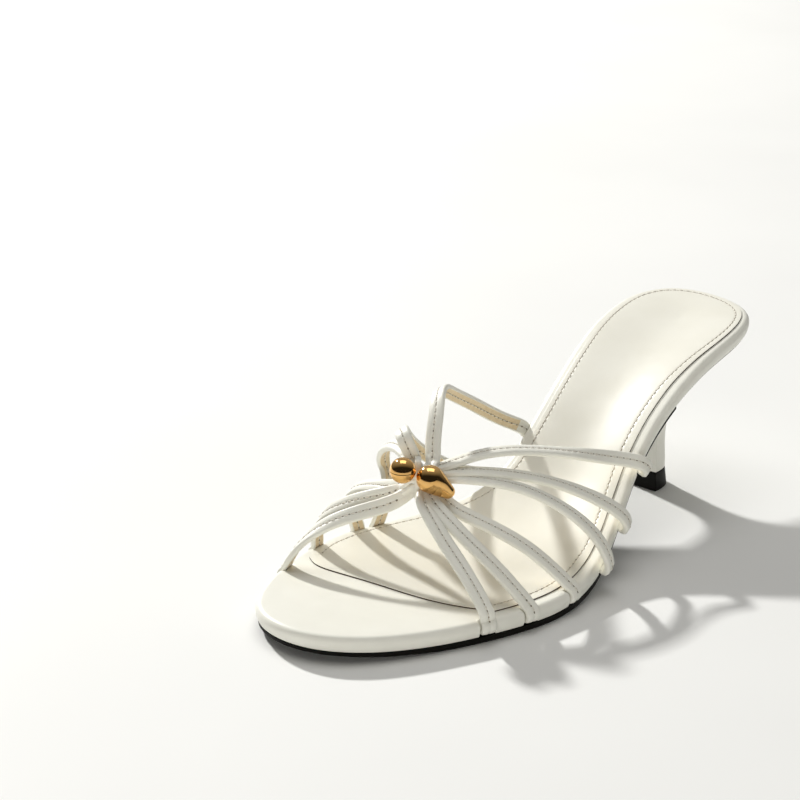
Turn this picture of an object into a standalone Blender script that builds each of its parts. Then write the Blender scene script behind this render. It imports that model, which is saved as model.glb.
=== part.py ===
"""Strappy kitten heel mule sandal for a left foot, size 37 to 38, built in the way it is made.

The shoe stands on its sole: +Z is up, the toe points to -Y and the outer side of the foot is +X.
Sizes are in millimetres in the last's own frame, where "across" grows to the outer side, "along"
runs from the back of the heel to the toe and "up" starts at the ground. last_to_world turns them
into metres in the part's frame, whose origin is on the ground under the middle of the shoe.
"""

import math

import bmesh
import bpy
import numpy as np

MM = 0.001

# ---------------------------------------------------------------- driving dimensions, millimetres
FOOTBED_LENGTH = 240.2
CENTRE_ACROSS = 0.96           # the last's "across" value that stands over the origin
GAP = 0.3                      # clearance between two pieces that meet

# Plan of the footbed's edge: heel tip, outer side, toe tip, inner side.
OUTLINE = np.array([
    # across, along
    (-4.3, 0.0), (14.0, 5.5), (24.5, 19.5), (27.5, 39.8), (27.6, 65.9), (29.9, 93.9),
    (38.9, 122.0), (45.6, 146.8), (44.8, 171.3), (35.6, 198.9), (22.5, 223.0), (6.9, 237.2),
    (-9.9, 240.2), (-25.0, 233.3), (-36.4, 215.6), (-43.5, 192.9), (-43.8, 167.0),
    (-34.2, 142.9), (-22.3, 119.7), (-20.3, 98.5), (-23.8, 70.0), (-28.5, 41.4),
    (-29.0, 19.1), (-21.0, 4.2),
])
TOE_CONTROL = 12               # the row of OUTLINE at the toe tip
SIDE_POINTS = 38               # mesh points along each side of the outline

# Side view of the footbed's top edge, from the heel seat down the arch to the toe spring.
PROFILE = np.array([
    # along, up
    (0.0, 66.4), (17.5, 65.2), (32.5, 63.0), (47.5, 59.7), (62.5, 54.0), (77.5, 45.7),
    (92.5, 35.2), (107.5, 23.9), (122.5, 15.2), (137.5, 10.4), (152.0, 8.5), (165.0, 8.0),
    (200.0, 8.0), (218.0, 8.5), (240.2, 9.8),
])
# Hollow of the footbed under its rim, at its middle.
HOLLOW = np.array([
    # along, depth
    (0.0, 0.0), (8.0, 0.6), (25.0, 1.7), (60.0, 2.2), (110.0, 2.0), (150.0, 0.8), (200.0, 0.5),
    (240.2, 0.0),
])

RAND_HEIGHT = 5.5              # wrapped edge of the midsole
SHOULDER_RADIUS = 2.4
SIDE_TUCK = 0.8                # how far the rand's lower edge lies inside its widest line
SOCK_INSETS = np.array([
    # along, outer, inner: from the outline to the insole's cut edge
    (0.0, 2.8, 2.8), (15.0, 3.0, 3.0), (38.0, 3.3, 3.4), (70.0, 4.9, 3.8), (180.0, 5.0, 3.8),
    (197.0, 5.0, 4.8), (240.2, 5.0, 5.0),
])
SOCK_THICKNESS = 1.1
SOCK_RECESS = 1.4              # depth of the midsole's recess for the insole
SOCK_FRONT = np.array([
    # across, along: front edge of the insole, from the outer to the inner side
    (33.4, 185.0), (24.2, 189.1), (13.3, 192.1), (-8.7, 194.8), (-24.0, 197.0), (-33.0, 196.8),
    (-37.6, 194.4),
])

OUTSOLE_FRONT_THICKNESS = 2.2
OUTSOLE_TOE_THICKNESS = 1.3
OUTSOLE_TOE_FROM = 194.0       # along: from here the tread rises and thins to the toe tip
OUTSOLE_WAIST_THICKNESS = 1.2
OUTSOLE_THINS_FROM = 150.0     # along
OUTSOLE_THIN_AT = 105.0
BREAST_TOP = 68.0              # along: where outsole and heel meet under the arch

LIFT_HEIGHT = 7.5
LIFT_HALF_WIDTH = 7.3
HEEL_HALF_WIDTH = 6.6
HEEL_NECK_HALF_WIDTH = 6.3
HEEL_FRONT = 49.2              # along: breast of the column
HEEL_DEPTH = 11.2
HEEL_NECK_DEPTH = 10.4
HEEL_FLARE_START = 20.0        # up: where the column starts to spread to the seat
HEEL_FLARE_POWER = 2.3
SEAT_INSET = 1.0               # heel's top edge inside the footbed's outline

STRAP_WIDTH = 5.5
STRAP_THICKNESS = 2.2
STRAP_CHAMFER = 0.55
STRAP_READ = 0.6               # spacing at which a strap's line is smoothed
STRAP_STEP = 4.6               # spacing of the sections along a strap
STRAP_FINE_STEP = 1.4          # their spacing round the sole's edge
NOTCH_DEPTH = 1.4              # how deep a flush strap lies in the rand
TAIL_LENGTH = 4.6              # strap end held between midsole and outsole
SEAT_LEAD = 14.0               # a strap's seat starts this far before the sole's edge
SEAT_CLEARANCE = 0.55
SEAT_OPENING = 1.2             # how much wider a seat is on its open side

KNOT = np.array([-7.0, 172.8, 40.0])       # middle of the gather: across, along, up
GATHER_AXIS = np.array([0.751, -0.661, 0.0])   # the straps run through the gather this way
GATHER_DEPTH = np.array([0.661, 0.751, 0.0])
UP = np.array([0.0, 0.0, 1.0])
CORE_SIZE = (2.6, 2.6, 6.1)    # half length, depth and height of the gathered core
WRAP_WIDTH = 2.2
WRAP_THICKNESS = 0.8
WRAP_HOLE = (2.9, 6.6)         # half depth and height
GATHER_LENGTH = 3.1            # how far a strap runs through the gather
TWIST_LENGTH = 7.0             # a strap's first turn takes this much more

# The beads' places are offsets from KNOT along the gather's axis, its depth and up.
BALL_RADIUS = 4.45
BALL_OFFSET = (-5.2, 6.8, 5.6)
DROP_RADIUS = 4.4
DROP_OFFSET = (3.7, 7.4, 3.1)
DROP_TIP_RADIUS = 2.45
DROP_TIP_OFFSET = (10.0, 6.8, -2.0)

# Each half strap runs from the gather to the sole. "start" holds its first two points as offsets
# from KNOT like the beads', "edge" is the footbed station where it goes over the rand, "loop" is how
# far it bows out round the rand, and "route" holds its points on the way. "faces" are the directions
# that its outer face looks in at the start, just outside the gather and halfway.
STRAPS = (
    dict(name="outer_1", start=((1.2, -2.0, -3.6), (2.4, 1.0, -3.9)), edge=190.0, loop=0.0, passes=110,
         faces=((0.75, -0.66, 0.1), (0.7, 0.1, 0.5), (0.5, 0.4, 0.75)),
         route=((-2.4, 174.9, 36.5), (-1.4, 178.4, 36.4), (6.2, 182.5, 33.8), (14.5, 184.7, 27.9),
                (25.0, 187.6, 22.2), (34.7, 190.5, 15.9), (38.7, 190.9, 11.1))),
    dict(name="outer_2", start=((-0.5, 0.1, -2.4), (2.6, 0.1, -2.4)), edge=173.5, loop=0.0, passes=110,
         faces=((0.0, 0.0, 1.0), (0.5, 0.4, 0.8), (0.5, 0.3, 0.8)),
         route=((0.6, 176.3, 36.7), (8.9, 178.3, 33.0), (20.0, 178.4, 26.8), (31.9, 177.5, 20.0))),
    dict(name="outer_3", start=((-0.5, 0.0, -1.2), (2.6, 0.0, -1.2)), edge=152.5, loop=0.0, passes=110,
         faces=((0.0, 0.0, 1.0), (0.4, 0.3, 0.85), (0.45, 0.2, 0.85)),
         route=((4.8, 171.3, 33.2), (14.0, 167.5, 29.4), (25.1, 163.5, 25.3),
                (33.8, 159.7, 20.3))),
    dict(name="outer_4", start=((-0.5, -0.1, 0.0), (2.6, -0.1, 0.0)), edge=133.5, loop=3.0, passes=110,
         faces=((0.0, 0.0, 1.0), (0.0, 0.0, 1.0), (0.2, 0.0, 1.0)),
         route=((1.6, 165.0, 40.0), (11.3, 156.5, 39.0), (21.1, 148.6, 36.2), (32.1, 141.4, 30.1),
                (40.5, 137.0, 23.2), (44.7, 134.7, 16.6))),
    dict(name="outer_5", start=((-0.5, -0.2, 1.2), (2.6, -0.2, 1.2)), edge=115.5, loop=3.2, passes=110,
         faces=((0.0, 0.0, 1.0), (0.0, 0.0, 1.0), (0.2, 0.0, 1.0)),
         route=((0.5, 163.8, 41.6), (11.6, 150.4, 40.2), (24.3, 134.8, 35.0), (34.4, 122.0, 27.0),
                (38.6, 116.1, 21.4))),
    dict(name="outer_6", start=((-0.5, -0.3, 2.4), (2.6, -0.3, 2.4)), edge=96.0, loop=3.5, passes=110,
         faces=((0.0, 0.0, 1.0), (0.0, 0.0, 1.0), (0.2, 0.0, 1.0)),
         route=((-2.4, 164.1, 43.1), (5.0, 149.0, 45.7), (18.0, 123.5, 41.4), (27.3, 102.6, 35.4),
                (32.5, 99.0, 34.6))),
    dict(name="inner_1", start=((0.5, 1.4, -4.3), (-2.6, 1.3, -4.5)), edge=205.0, loop=0.0, passes=110,
         faces=((0.45, 0.88, 0.1), (0.4, 0.8, 0.2), (0.0, 0.7, 0.6)),
         route=((-10.3, 178.7, 32.7), (-16.6, 185.9, 29.9), (-26.4, 194.9, 25.4),
                (-32.9, 200.9, 19.5), (-36.2, 205.0, 12.5))),
    dict(name="inner_2", start=((0.5, 0.5, -2.2), (-2.6, 0.4, -2.3)), edge=185.0, loop=0.0, passes=110,
         faces=((0.0, 0.0, 1.0), (0.3, 0.8, 0.3), (-0.1, 0.7, 0.6)),
         route=((-10.9, 176.5, 35.5), (-20.8, 181.3, 31.7), (-32.7, 185.6, 26.1),
                (-39.5, 187.6, 19.8))),
    dict(name="inner_3", start=((0.5, 0.2, -0.5), (-2.6, 0.2, -0.5)), edge=164.5, loop=0.0, passes=110,
         faces=((0.0, 0.0, 1.0), (0.2, 0.7, 0.5), (-0.3, 0.5, 0.8)),
         route=((-12.7, 175.0, 36.1), (-26.7, 171.7, 31.3), (-37.6, 170.1, 27.1),
                (-43.3, 168.1, 20.7))),
    dict(name="inner_4", start=((0.5, -0.1, 1.6), (-2.6, -0.1, 1.6)), edge=157.0, loop=0.0, passes=8,
         faces=((0.0, 0.0, 1.0), (0.0, 0.5, 0.85), (-0.7, 0.1, 0.7)),
         route=((-13.0, 171.1, 44.8), (-21.6, 167.0, 46.1), (-31.8, 161.6, 40.8),
                (-38.3, 155.2, 31.2), (-34.7, 157.5, 24.4))),
    dict(name="inner_5", start=((0.5, -0.2, 3.2), (-2.6, -0.2, 3.2)), edge=114.0, loop=1.4, passes=8,
         faces=((0.0, 0.0, 1.0), (0.2, 0.75, 0.6), (-0.8, -0.1, 0.6)),
         route=((-11.3, 169.9, 43.5), (-12.9, 171.5, 49.7), (-16.6, 170.0, 53.1),
                (-31.8, 148.0, 38.8), (-32.1, 136.0, 29.4), (-27.6, 122.0, 21.2))),
    dict(name="inner_6", start=((-0.5, -0.3, 3.6), (2.6, -0.3, 3.6)), edge=95.5, loop=1.0, passes=8,
         faces=((0.0, 0.0, 1.0), (0.3, 0.75, 0.6), (-0.8, -0.1, 0.6)),
         route=((-5.2, 167.7, 43.8), (-8.6, 163.2, 48.5), (-12.8, 156.9, 56.9),
                (-18.2, 148.8, 61.8), (-23.3, 137.0, 57.1), (-25.4, 120.8, 47.5),
                (-24.9, 103.8, 37.0))),
)

# ------------------------------------------------------------------------------ plain numeric tools


def unit(vector):
    """Return a vector, or each row of an array, at length one."""
    vector = np.asarray(vector, float)
    return vector / np.linalg.norm(vector, axis=-1, keepdims=True)


def smooth(value):
    """Ease from 0 to 1 between 0 and 1."""
    value = np.clip(value, 0.0, 1.0)
    return value * value * (3.0 - 2.0 * value)


def spline(knots, values, at, closed=False):
    """Read a cubic spline through values at the knots; a closed one repeats its first value last."""
    steps = np.diff(knots)
    slopes = np.diff(values, axis=0) / steps[:, None]
    count = len(knots)
    matrix = np.zeros((count, count))
    right = np.zeros((count, values.shape[1]))
    for row in range(1, count - 1):
        matrix[row, row - 1:row + 2] = (steps[row], 2.0 * (steps[row - 1] + steps[row]), steps[row - 1])
        right[row] = 3.0 * (steps[row] * slopes[row - 1] + steps[row - 1] * slopes[row])
    if closed:
        matrix[0, (0, -1)] = (1.0, -1.0)
        matrix[-1, (0, 1)] = (2.0 * steps[-1], steps[-1])
        matrix[-1, -2:] = (steps[0], 2.0 * steps[0])
        right[-1] = 3.0 * (steps[-1] * slopes[0] + steps[0] * slopes[-1])
    else:
        matrix[0, :2] = (2.0, 1.0)
        matrix[-1, -2:] = (1.0, 2.0)
        right[0], right[-1] = 3.0 * slopes[0], 3.0 * slopes[-1]
    grades = np.linalg.solve(matrix, right)
    cell = np.clip(np.searchsorted(knots, at, side="right") - 1, 0, count - 2)
    part = ((at - knots[cell]) / steps[cell])[:, None]
    step = steps[cell][:, None]
    start, end = values[cell], values[cell + 1]
    return ((1 + 2 * part) * (1 - part) ** 2 * start + part * (1 - part) ** 2 * step * grades[cell]
            + part ** 2 * (3 - 2 * part) * end - part ** 2 * (1 - part) * step * grades[cell + 1])


def monotone(table, at):
    """Read a two-column table with a cubic that never overshoots its rows."""
    knots, values = table[:, 0], table[:, 1]
    steps, slopes = np.diff(knots), np.diff(values) / np.diff(knots)
    grades = np.zeros(len(knots))
    grades[0], grades[-1] = slopes[0], slopes[-1]
    same = slopes[:-1] * slopes[1:] > 0.0
    before, after = 2 * steps[1:] + steps[:-1], steps[1:] + 2 * steps[:-1]
    grades[1:-1][same] = ((before + after)[same]
                          / (before[same] / slopes[:-1][same] + after[same] / slopes[1:][same]))
    at = np.clip(at, knots[0], knots[-1])
    cell = np.clip(np.searchsorted(knots, at, side="right") - 1, 0, len(steps) - 1)
    part, step = (at - knots[cell]) / steps[cell], steps[cell]
    return ((1 + 2 * part) * (1 - part) ** 2 * values[cell] + part * (1 - part) ** 2 * step * grades[cell]
            + part ** 2 * (3 - 2 * part) * values[cell + 1]
            - part ** 2 * (1 - part) * step * grades[cell + 1])


def along_curve(points, split, passes):
    """Smoothed curve through the points in even steps, and the distance along it to the split point."""
    knots = np.concatenate([[0.0], np.cumsum(np.linalg.norm(np.diff(points, axis=0), axis=1) ** 0.5)])
    read = np.sort(np.concatenate([np.linspace(0.0, knots[-1], 50 * len(points)), [knots[split]]]))
    dense = spline(knots, points, read)
    length = np.concatenate([[0.0], np.cumsum(np.linalg.norm(np.diff(dense, axis=0), axis=1))])
    middle = length[np.searchsorted(read, knots[split])]
    even = np.linspace(0.0, length[-1], int(round(length[-1] / STRAP_READ)) + 1)
    line = np.stack([np.interp(even, length, dense[:, axis]) for axis in range(3)], axis=1)
    settle(line, (even - 3.0) / 8.0, (middle - 2.5 - even) / 8.0, passes)
    return line, even, middle


def settle(rows, after, before, passes):
    """Draw rows towards the middle of their neighbours, fully where both shares reach 1."""
    free = (smooth(after) * smooth(before) * 0.5)[1:-1, None]
    for _ in range(passes):
        rows[1:-1] += free * ((rows[:-2] + rows[2:]) / 2.0 - rows[1:-1])


# ------------------------------------------------------------------------------------ the last form


def footbed_top(along):
    """Height of the footbed's top edge."""
    return monotone(PROFILE, np.asarray(along, float))


def footbed_bottom(along):
    """Height of the midsole's underside."""
    return footbed_top(along) - RAND_HEIGHT


def hollow(along):
    """Depth of the footbed's hollow at its middle."""
    return monotone(HOLLOW, np.asarray(along, float))


def plan_outline():
    """Plan of the footbed's edge, with the heel tip first and the toe tip halfway round."""
    rows = np.vstack([OUTLINE, OUTLINE[:1]])
    knots = np.arange(len(rows), dtype=float)
    halves = []
    for first, last in ((0, TOE_CONTROL), (TOE_CONTROL, len(OUTLINE))):
        dense = spline(knots, rows, np.linspace(first, last, 900), closed=True)
        length = np.concatenate([[0.0], np.cumsum(np.linalg.norm(np.diff(dense, axis=0), axis=1))])
        even = np.linspace(0.0, length[-1], SIDE_POINTS, endpoint=False)
        halves.append(np.stack([np.interp(even, length, dense[:, axis]) for axis in (0, 1)], axis=1))
    return np.vstack(halves)


def outward(plan):
    """Unit directions out of a closed plan outline, one for each point."""
    forward = unit(np.roll(plan, -1, axis=0) - np.roll(plan, 1, axis=0))
    return np.stack([forward[:, 1], -forward[:, 0]], axis=1)


EDGE = plan_outline()
EDGE_OUT = outward(EDGE)


def ring(inset, height):
    """A closed ring inside the outline at a height that is a function of "along"."""
    plan = EDGE - EDGE_OUT * inset
    return np.column_stack([plan, height(plan[:, 1])])


def deck(edge, height, strips=4):
    """Rows of points from the outer to the inner side of a ring, without its two tips."""
    half = len(edge) // 2
    rows = []
    for index in range(1, half):
        share = np.linspace(0.0, 1.0, strips + 1)[1:-1, None]
        row = edge[index] * (1.0 - share) + edge[len(edge) - index] * share
        across = 2.0 * share[:, 0] - 1.0
        row[:, 2] = height(row[:, 1], 1.0 - across ** 2)
        rows.append(row)
    return rows


def edge_frame(station, side):
    """Edge point, outward direction and edge direction of the footbed at a station."""
    half = len(EDGE) // 2
    picks = np.arange(0, half + 1) if side > 0 else np.r_[np.arange(half, len(EDGE)), 0][::-1]
    order = picks[np.argsort(EDGE[picks, 1])]
    across = np.interp(station, EDGE[order, 1], EDGE[order, 0])
    out = unit([np.interp(station, EDGE[order, 1], EDGE_OUT[order, axis]) for axis in (0, 1)])
    run = np.array([-out[1], out[0]]) * side
    rise = (footbed_bottom(station + 1.0) - footbed_bottom(station - 1.0)) / 2.0 * run[1]
    return np.array([across, station]), np.append(out, 0.0), unit([run[0], run[1], rise])


# ---------------------------------------------------------------------------------- Blender meshes


def last_to_world(points):
    """Turn millimetres on the last into metres in the part's frame."""
    points = np.atleast_2d(np.asarray(points, float))
    world = np.column_stack([points[:, 0] - CENTRE_ACROSS, FOOTBED_LENGTH / 2.0 - points[:, 1],
                             points[:, 2]])
    return world * MM


def new_object(name, points, faces, material=None, origin=(CENTRE_ACROSS, FOOTBED_LENGTH / 2.0, 0.0)):
    """Make a mesh object from points on the last, standing at its own origin on the last."""
    place = last_to_world(origin)[0]
    mesh = bpy.data.meshes.new(name)
    mesh.from_pydata((last_to_world(points) - place).tolist(), [], faces)
    piece = bpy.data.objects.new(name, mesh)
    piece.location = place
    bpy.context.scene.collection.objects.link(piece)
    work = bmesh.new()
    work.from_mesh(mesh)
    bmesh.ops.recalc_face_normals(work, faces=work.faces)
    work.to_mesh(mesh)
    work.free()
    if material is not None:
        mesh.materials.append(material)
    return piece


def skin(rings, first=0):
    """Quads between successive rings of equal length, as indices that start at first."""
    count = len(rings[0])
    faces = []
    for level in range(len(rings) - 1):
        low = first + level * count
        for index in range(count):
            after = (index + 1) % count
            faces.append((low + index, low + after, low + count + after, low + count + index))
    return faces


def deck_faces(ring_start, count, deck_start, strips=4):
    """Faces that close a ring with its deck of rows."""
    half = count // 2
    inner = strips - 1

    def row(index):
        """Indices of one row, from the outer to the inner side."""
        first = deck_start + (index - 1) * inner
        return [ring_start + index] + list(range(first, first + inner)) + [ring_start + count - index]

    faces = []
    rows = [row(index) for index in range(1, half)]
    for near, far in zip(rows[:-1], rows[1:]):
        for step in range(strips):
            faces.append((near[step], near[step + 1], far[step + 1], far[step]))
    for tip, line in ((ring_start, rows[0]), (ring_start + half, rows[-1])):
        for step in range(strips):
            faces.append((tip, line[step], line[step + 1]))
    return faces


def closed_loft(name, rings, bottom, top, material=None):
    """A solid from rings, bottom to top, closed by a deck at each end."""
    count = len(rings[0])
    points = [np.vstack(rings)]
    faces = skin(rings)
    total = count * len(rings)
    for ring_level, height in ((0, bottom), (len(rings) - 1, top)):
        rows = np.vstack(deck(rings[ring_level], height))
        faces += deck_faces(ring_level * count, count, total)
        points.append(rows)
        total += len(rows)
    return new_object(name, np.vstack(points), faces, material)


def boolean(piece, tool, operation):
    """Apply one Boolean between two closed objects and remove the tool."""
    modifier = piece.modifiers.new(operation.lower(), "BOOLEAN")
    modifier.operation = operation
    modifier.solver = "MANIFOLD"
    modifier.object = tool
    graph = bpy.context.evaluated_depsgraph_get()
    result = bpy.data.meshes.new_from_object(piece.evaluated_get(graph))
    piece.modifiers.clear()
    old, piece.data = piece.data, result
    bpy.data.meshes.remove(old)
    bpy.data.objects.remove(tool, do_unlink=True)


def fill_pockets(piece):
    """Close the small sealed pockets between joined straps: keep the largest shell only."""
    work = bmesh.new()
    work.from_mesh(piece.data)
    unseen, shells = set(work.verts), []
    while unseen:
        shell, front = set(), [next(iter(unseen))]
        while front:
            point = front.pop()
            if point in shell:
                continue
            shell.add(point)
            front += [edge.other_vert(point) for edge in point.link_edges]
        shells.append(shell)
        unseen -= shell
    shells.sort(key=len)
    for shell in shells[:-1]:
        bmesh.ops.delete(work, geom=list(shell), context="VERTS")
    work.to_mesh(piece.data)
    work.free()


def shade(piece, angle=30.0):
    """Shade a piece smooth except over its sharp edges."""
    piece.data.shade_smooth()
    piece.data.set_sharp_from_angle(angle=math.radians(angle))


def material(name, colour, roughness, metallic=0.0):
    """A Principled material with one colour."""
    made = bpy.data.materials.new(name)
    made.use_nodes = True
    shader = made.node_tree.nodes["Principled BSDF"]
    shader.inputs["Base Color"].default_value = (*colour, 1.0)
    shader.inputs["Roughness"].default_value = roughness
    shader.inputs["Metallic"].default_value = metallic
    made.diffuse_color = (*colour, 1.0)
    return made


# ------------------------------------------------------------------------------------------ straps


def at_knot(offset):
    """A point given by its offset along the gather's axis, its depth and up."""
    return KNOT + GATHER_AXIS * offset[0] + GATHER_DEPTH * offset[1] + UP * offset[2]


def strap_route(strap):
    """Centre line of a half strap: its points, their distances and the distance to the sole's edge."""
    side = 1 if strap["name"].startswith("outer") else -1
    plan, out, run = edge_frame(strap["edge"], side)
    top, bottom = float(footbed_top(strap["edge"])), float(footbed_bottom(strap["edge"]))
    half = STRAP_THICKNESS / 2.0
    slope = (footbed_bottom(strap["edge"] - 1.0) - footbed_bottom(strap["edge"] + 1.0)) / 2.0
    reach = strap["loop"]
    low = bottom + (half + GAP * (2.0 if reach else 1.0)) * math.hypot(1.0, slope)

    def beside(inset, up, swept=0.0):
        """A point beside the rand, by its inset from the outline, its height and its sweep."""
        return np.append(plan - out[:2] * inset - (0.0, swept), up + slope * swept)

    if reach:
        hook = [beside(-reach, low + 2.2), beside(0.4 - reach, low + 1.0, 0.3),
                beside(1.5 - reach, low + 0.2, 1.0), beside(1.6, low, 2.5), beside(TAIL_LENGTH, low, 3.8)]
    else:
        bend = SHOULDER_RADIUS - NOTCH_DEPTH + half + GAP
        side_inset, drop = SHOULDER_RADIUS - bend, top - SHOULDER_RADIUS
        hook = [beside(SHOULDER_RADIUS - bend * math.cos(math.radians(turn)),
                       drop + bend * math.sin(math.radians(turn))) for turn in (60.0, 30.0, 0.0)]
        hook += [beside(side_inset, low + 1.4), beside(side_inset + 0.5, low + 0.4),
                 beside(1.6, low), beside(TAIL_LENGTH, low)]
    points = [at_knot(offset) for offset in strap["start"]]
    points += [np.array(point) for point in strap["route"]]
    return along_curve(np.array(points + hook), len(points), strap["passes"])


def strap_frames(strap):
    """Sections of a half strap: centres, width and face directions, distances and the edge's distance."""
    line, travelled, edge_at = strap_route(strap)
    side = 1 if strap["name"].startswith("outer") else -1
    forward = unit(np.gradient(line, axis=0))
    _, out, run = edge_frame(strap["edge"], side)
    share = np.clip(travelled / edge_at, 0.0, 1.0)[:, None]
    early = smooth((travelled[:, None] - GATHER_LENGTH) / TWIST_LENGTH)
    middle = smooth((share - 0.15) / 0.4)
    last = smooth((share - 0.55) / 0.45)
    first, second, third = (unit(face) for face in strap["faces"])
    face = first * (1.0 - early) + second * early
    face = face * (1.0 - middle) + third * middle
    face = face * (1.0 - last) + (out * 0.8 + UP * 0.6) * last
    width = unit(np.cross(face, forward))
    if strap["loop"]:
        turn = np.interp(travelled - edge_at, (-7.0, 0.0, 4.5), (-40.0, 0.0, 90.0))[:, None]
        sole_up = unit(np.cross(out, run) * side)
        around = out * np.cos(np.radians(turn)) - sole_up * np.sin(np.radians(turn))
        run = unit(np.cross(around, forward))
    else:
        run = run * np.sign(np.dot(run, width[np.searchsorted(travelled, edge_at) - 1]))
    width = unit(width * (1.0 - last) + run * last)
    settle(width, (travelled - 2.0) / 6.0, (edge_at - 3.0 - travelled) / 6.0, 90)
    width = unit(width - forward * np.sum(width * forward, axis=1, keepdims=True))
    face = np.cross(forward, width)
    tail = travelled[-1] - edge_at
    places = np.concatenate([np.linspace(0.0, edge_at, int(round(edge_at / STRAP_STEP)) + 1),
                             edge_at + np.linspace(0.0, tail, int(round(tail / STRAP_FINE_STEP)) + 1)[1:]])
    line, width, face = (np.stack([np.interp(places, travelled, rows[:, axis]) for axis in range(3)], axis=1)
                         for rows in (line, width, face))
    return line, unit(width), unit(face), places, edge_at


def band(name, line, width, face, half_width, back, front, material=None):
    """A closed flat band along a line, with a chamfered section from its back to its front face."""
    w, c = half_width, STRAP_CHAMFER
    section = ((w - c, front), (-w + c, front), (-w, front - c), (-w, c - back), (-w + c, -back),
               (w - c, -back), (w, c - back), (w, front - c))
    rings = [np.array([point + across * w + up * t for w, t in section])
             for point, across, up in zip(line, width, face)]
    count = len(section)
    last = count * (len(rings) - 1)
    faces = skin(rings) + [tuple(range(count)), tuple(range(last, last + count))]
    return new_object(name, np.vstack(rings), faces, material)


def ellipsoid(name, centre, axes, sizes, material=None, segments=20, rows=10):
    """An ellipsoid with given half sizes along three axes."""
    tilt = np.linspace(0.0, math.pi, rows + 1)[1:-1]
    turn = np.linspace(0.0, 2.0 * math.pi, segments, endpoint=False)
    axes = np.array(axes)

    def place(local):
        """Points from the ellipsoid's own axes."""
        return np.asarray(centre) + (np.asarray(local) * sizes) @ axes

    rings = [place(np.column_stack([np.full(segments, math.cos(a)), math.sin(a) * np.cos(turn),
                                    math.sin(a) * np.sin(turn)])) for a in tilt]
    points = np.vstack(rings + [place([(1.0, 0.0, 0.0), (-1.0, 0.0, 0.0)])])
    top = segments * len(rings)
    faces = skin(rings)
    for index in range(segments):
        after = (index + 1) % segments
        faces.append((top, index, after))
        low = segments * (len(rings) - 1)
        faces.append((top + 1, low + after, low + index))
    return new_object(name, points, faces, material, centre)


# ------------------------------------------------------------------------------------------ pieces


def sock_outline():
    """Plan of the insole: the inset outline, cut off by the insole's own front edge."""
    outer, inner = (monotone(SOCK_INSETS[:, (0, side)], EDGE[:, 1]) for side in (1, 2))
    reach = np.where(np.arange(len(EDGE)) < len(EDGE) // 2, outer, inner)
    inset = EDGE - EDGE_OUT * reach[:, None]
    front = SOCK_FRONT[np.argsort(SOCK_FRONT[:, 0])]
    limit = np.interp(inset[:, 0], front[:, 0], front[:, 1])
    inside = inset[:, 1] <= limit
    first, last = np.argmin(inside), len(inside) - 1 - np.argmin(inside[::-1])
    count = last - first + 1
    steps = np.concatenate([[0.0], np.cumsum(np.linalg.norm(np.diff(SOCK_FRONT, axis=0), axis=1))])
    even = np.linspace(0.0, steps[-1], count)
    plan = inset.copy()
    plan[first:last + 1] = np.column_stack([np.interp(even, steps, SOCK_FRONT[:, axis])
                                            for axis in (0, 1)])
    return plan


def build_midsole(leather):
    """Leather-wrapped footbed board with a rounded rand and a recess for the insole."""
    wall = sock_outline()

    def at(plan, drop):
        """Ring over a plan at a depth under the footbed's top edge."""
        return np.column_stack([plan, footbed_top(plan[:, 1]) - drop])

    shoulder = [(SHOULDER_RADIUS * (1.0 - math.cos(a)), SHOULDER_RADIUS * (1.0 - math.sin(a)))
                for a in np.radians((0.0, 30.0, 60.0, 90.0))]
    rings = [ring(SIDE_TUCK, footbed_bottom), ring(0.2, lambda s: footbed_bottom(s) + 1.2)]
    rings += [ring(inset, lambda s, drop=drop: footbed_top(s) - drop) for inset, drop in shoulder]
    rim = rings[-1][:, :2]
    for share in (0.5, 1.0):
        rings.append(at(rim + (wall - rim) * share, 0.0))
    rings.append(at(wall, SOCK_RECESS))
    return closed_loft("midsole", rings,
                       lambda s, mid: footbed_bottom(s),
                       lambda s, mid: footbed_top(s) - SOCK_RECESS - hollow(s) * mid, leather)


def build_insole(leather):
    """Sock that lies in the midsole's recess."""
    plan = sock_outline()
    out = outward(plan)
    plan = plan - out * GAP
    low = SOCK_RECESS - GAP

    def at(drop, inset):
        """Ring of the sock at a depth under the footbed's top edge."""
        line = plan - out * inset
        return np.column_stack([line, footbed_top(line[:, 1]) - drop])

    rings = [at(low, 0.0), at(low - SOCK_THICKNESS + 0.4, 0.0), at(low - SOCK_THICKNESS, 0.4)]
    return closed_loft("insole", rings,
                       lambda s, mid: footbed_top(s) - low - hollow(s) * mid,
                       lambda s, mid: footbed_top(s) - low + SOCK_THICKNESS - hollow(s) * mid, leather)


def cut_ring(inset, start, height):
    """Ring inside the outline that is cut straight across at a station."""
    plan = EDGE - EDGE_OUT * inset
    half = len(plan) // 2
    outer, inner = plan[1:half], plan[:half:-1]
    keep_outer, keep_inner = outer[outer[:, 1] > start], inner[inner[:, 1] > start]
    ends = [np.array([[np.interp(start, side[:, 1], side[:, 0]), start]]) for side in (outer, inner)]
    breast = np.array([[(ends[0][0, 0] + ends[1][0, 0]) / 2.0, start]])
    count = min(len(keep_outer), len(keep_inner))
    line = [breast, ends[0], keep_outer[-count:], plan[half:half + 1], keep_inner[-count:][::-1], ends[1]]
    plan = np.vstack(line)
    return np.column_stack([plan, height(plan[:, 1])])


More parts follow.
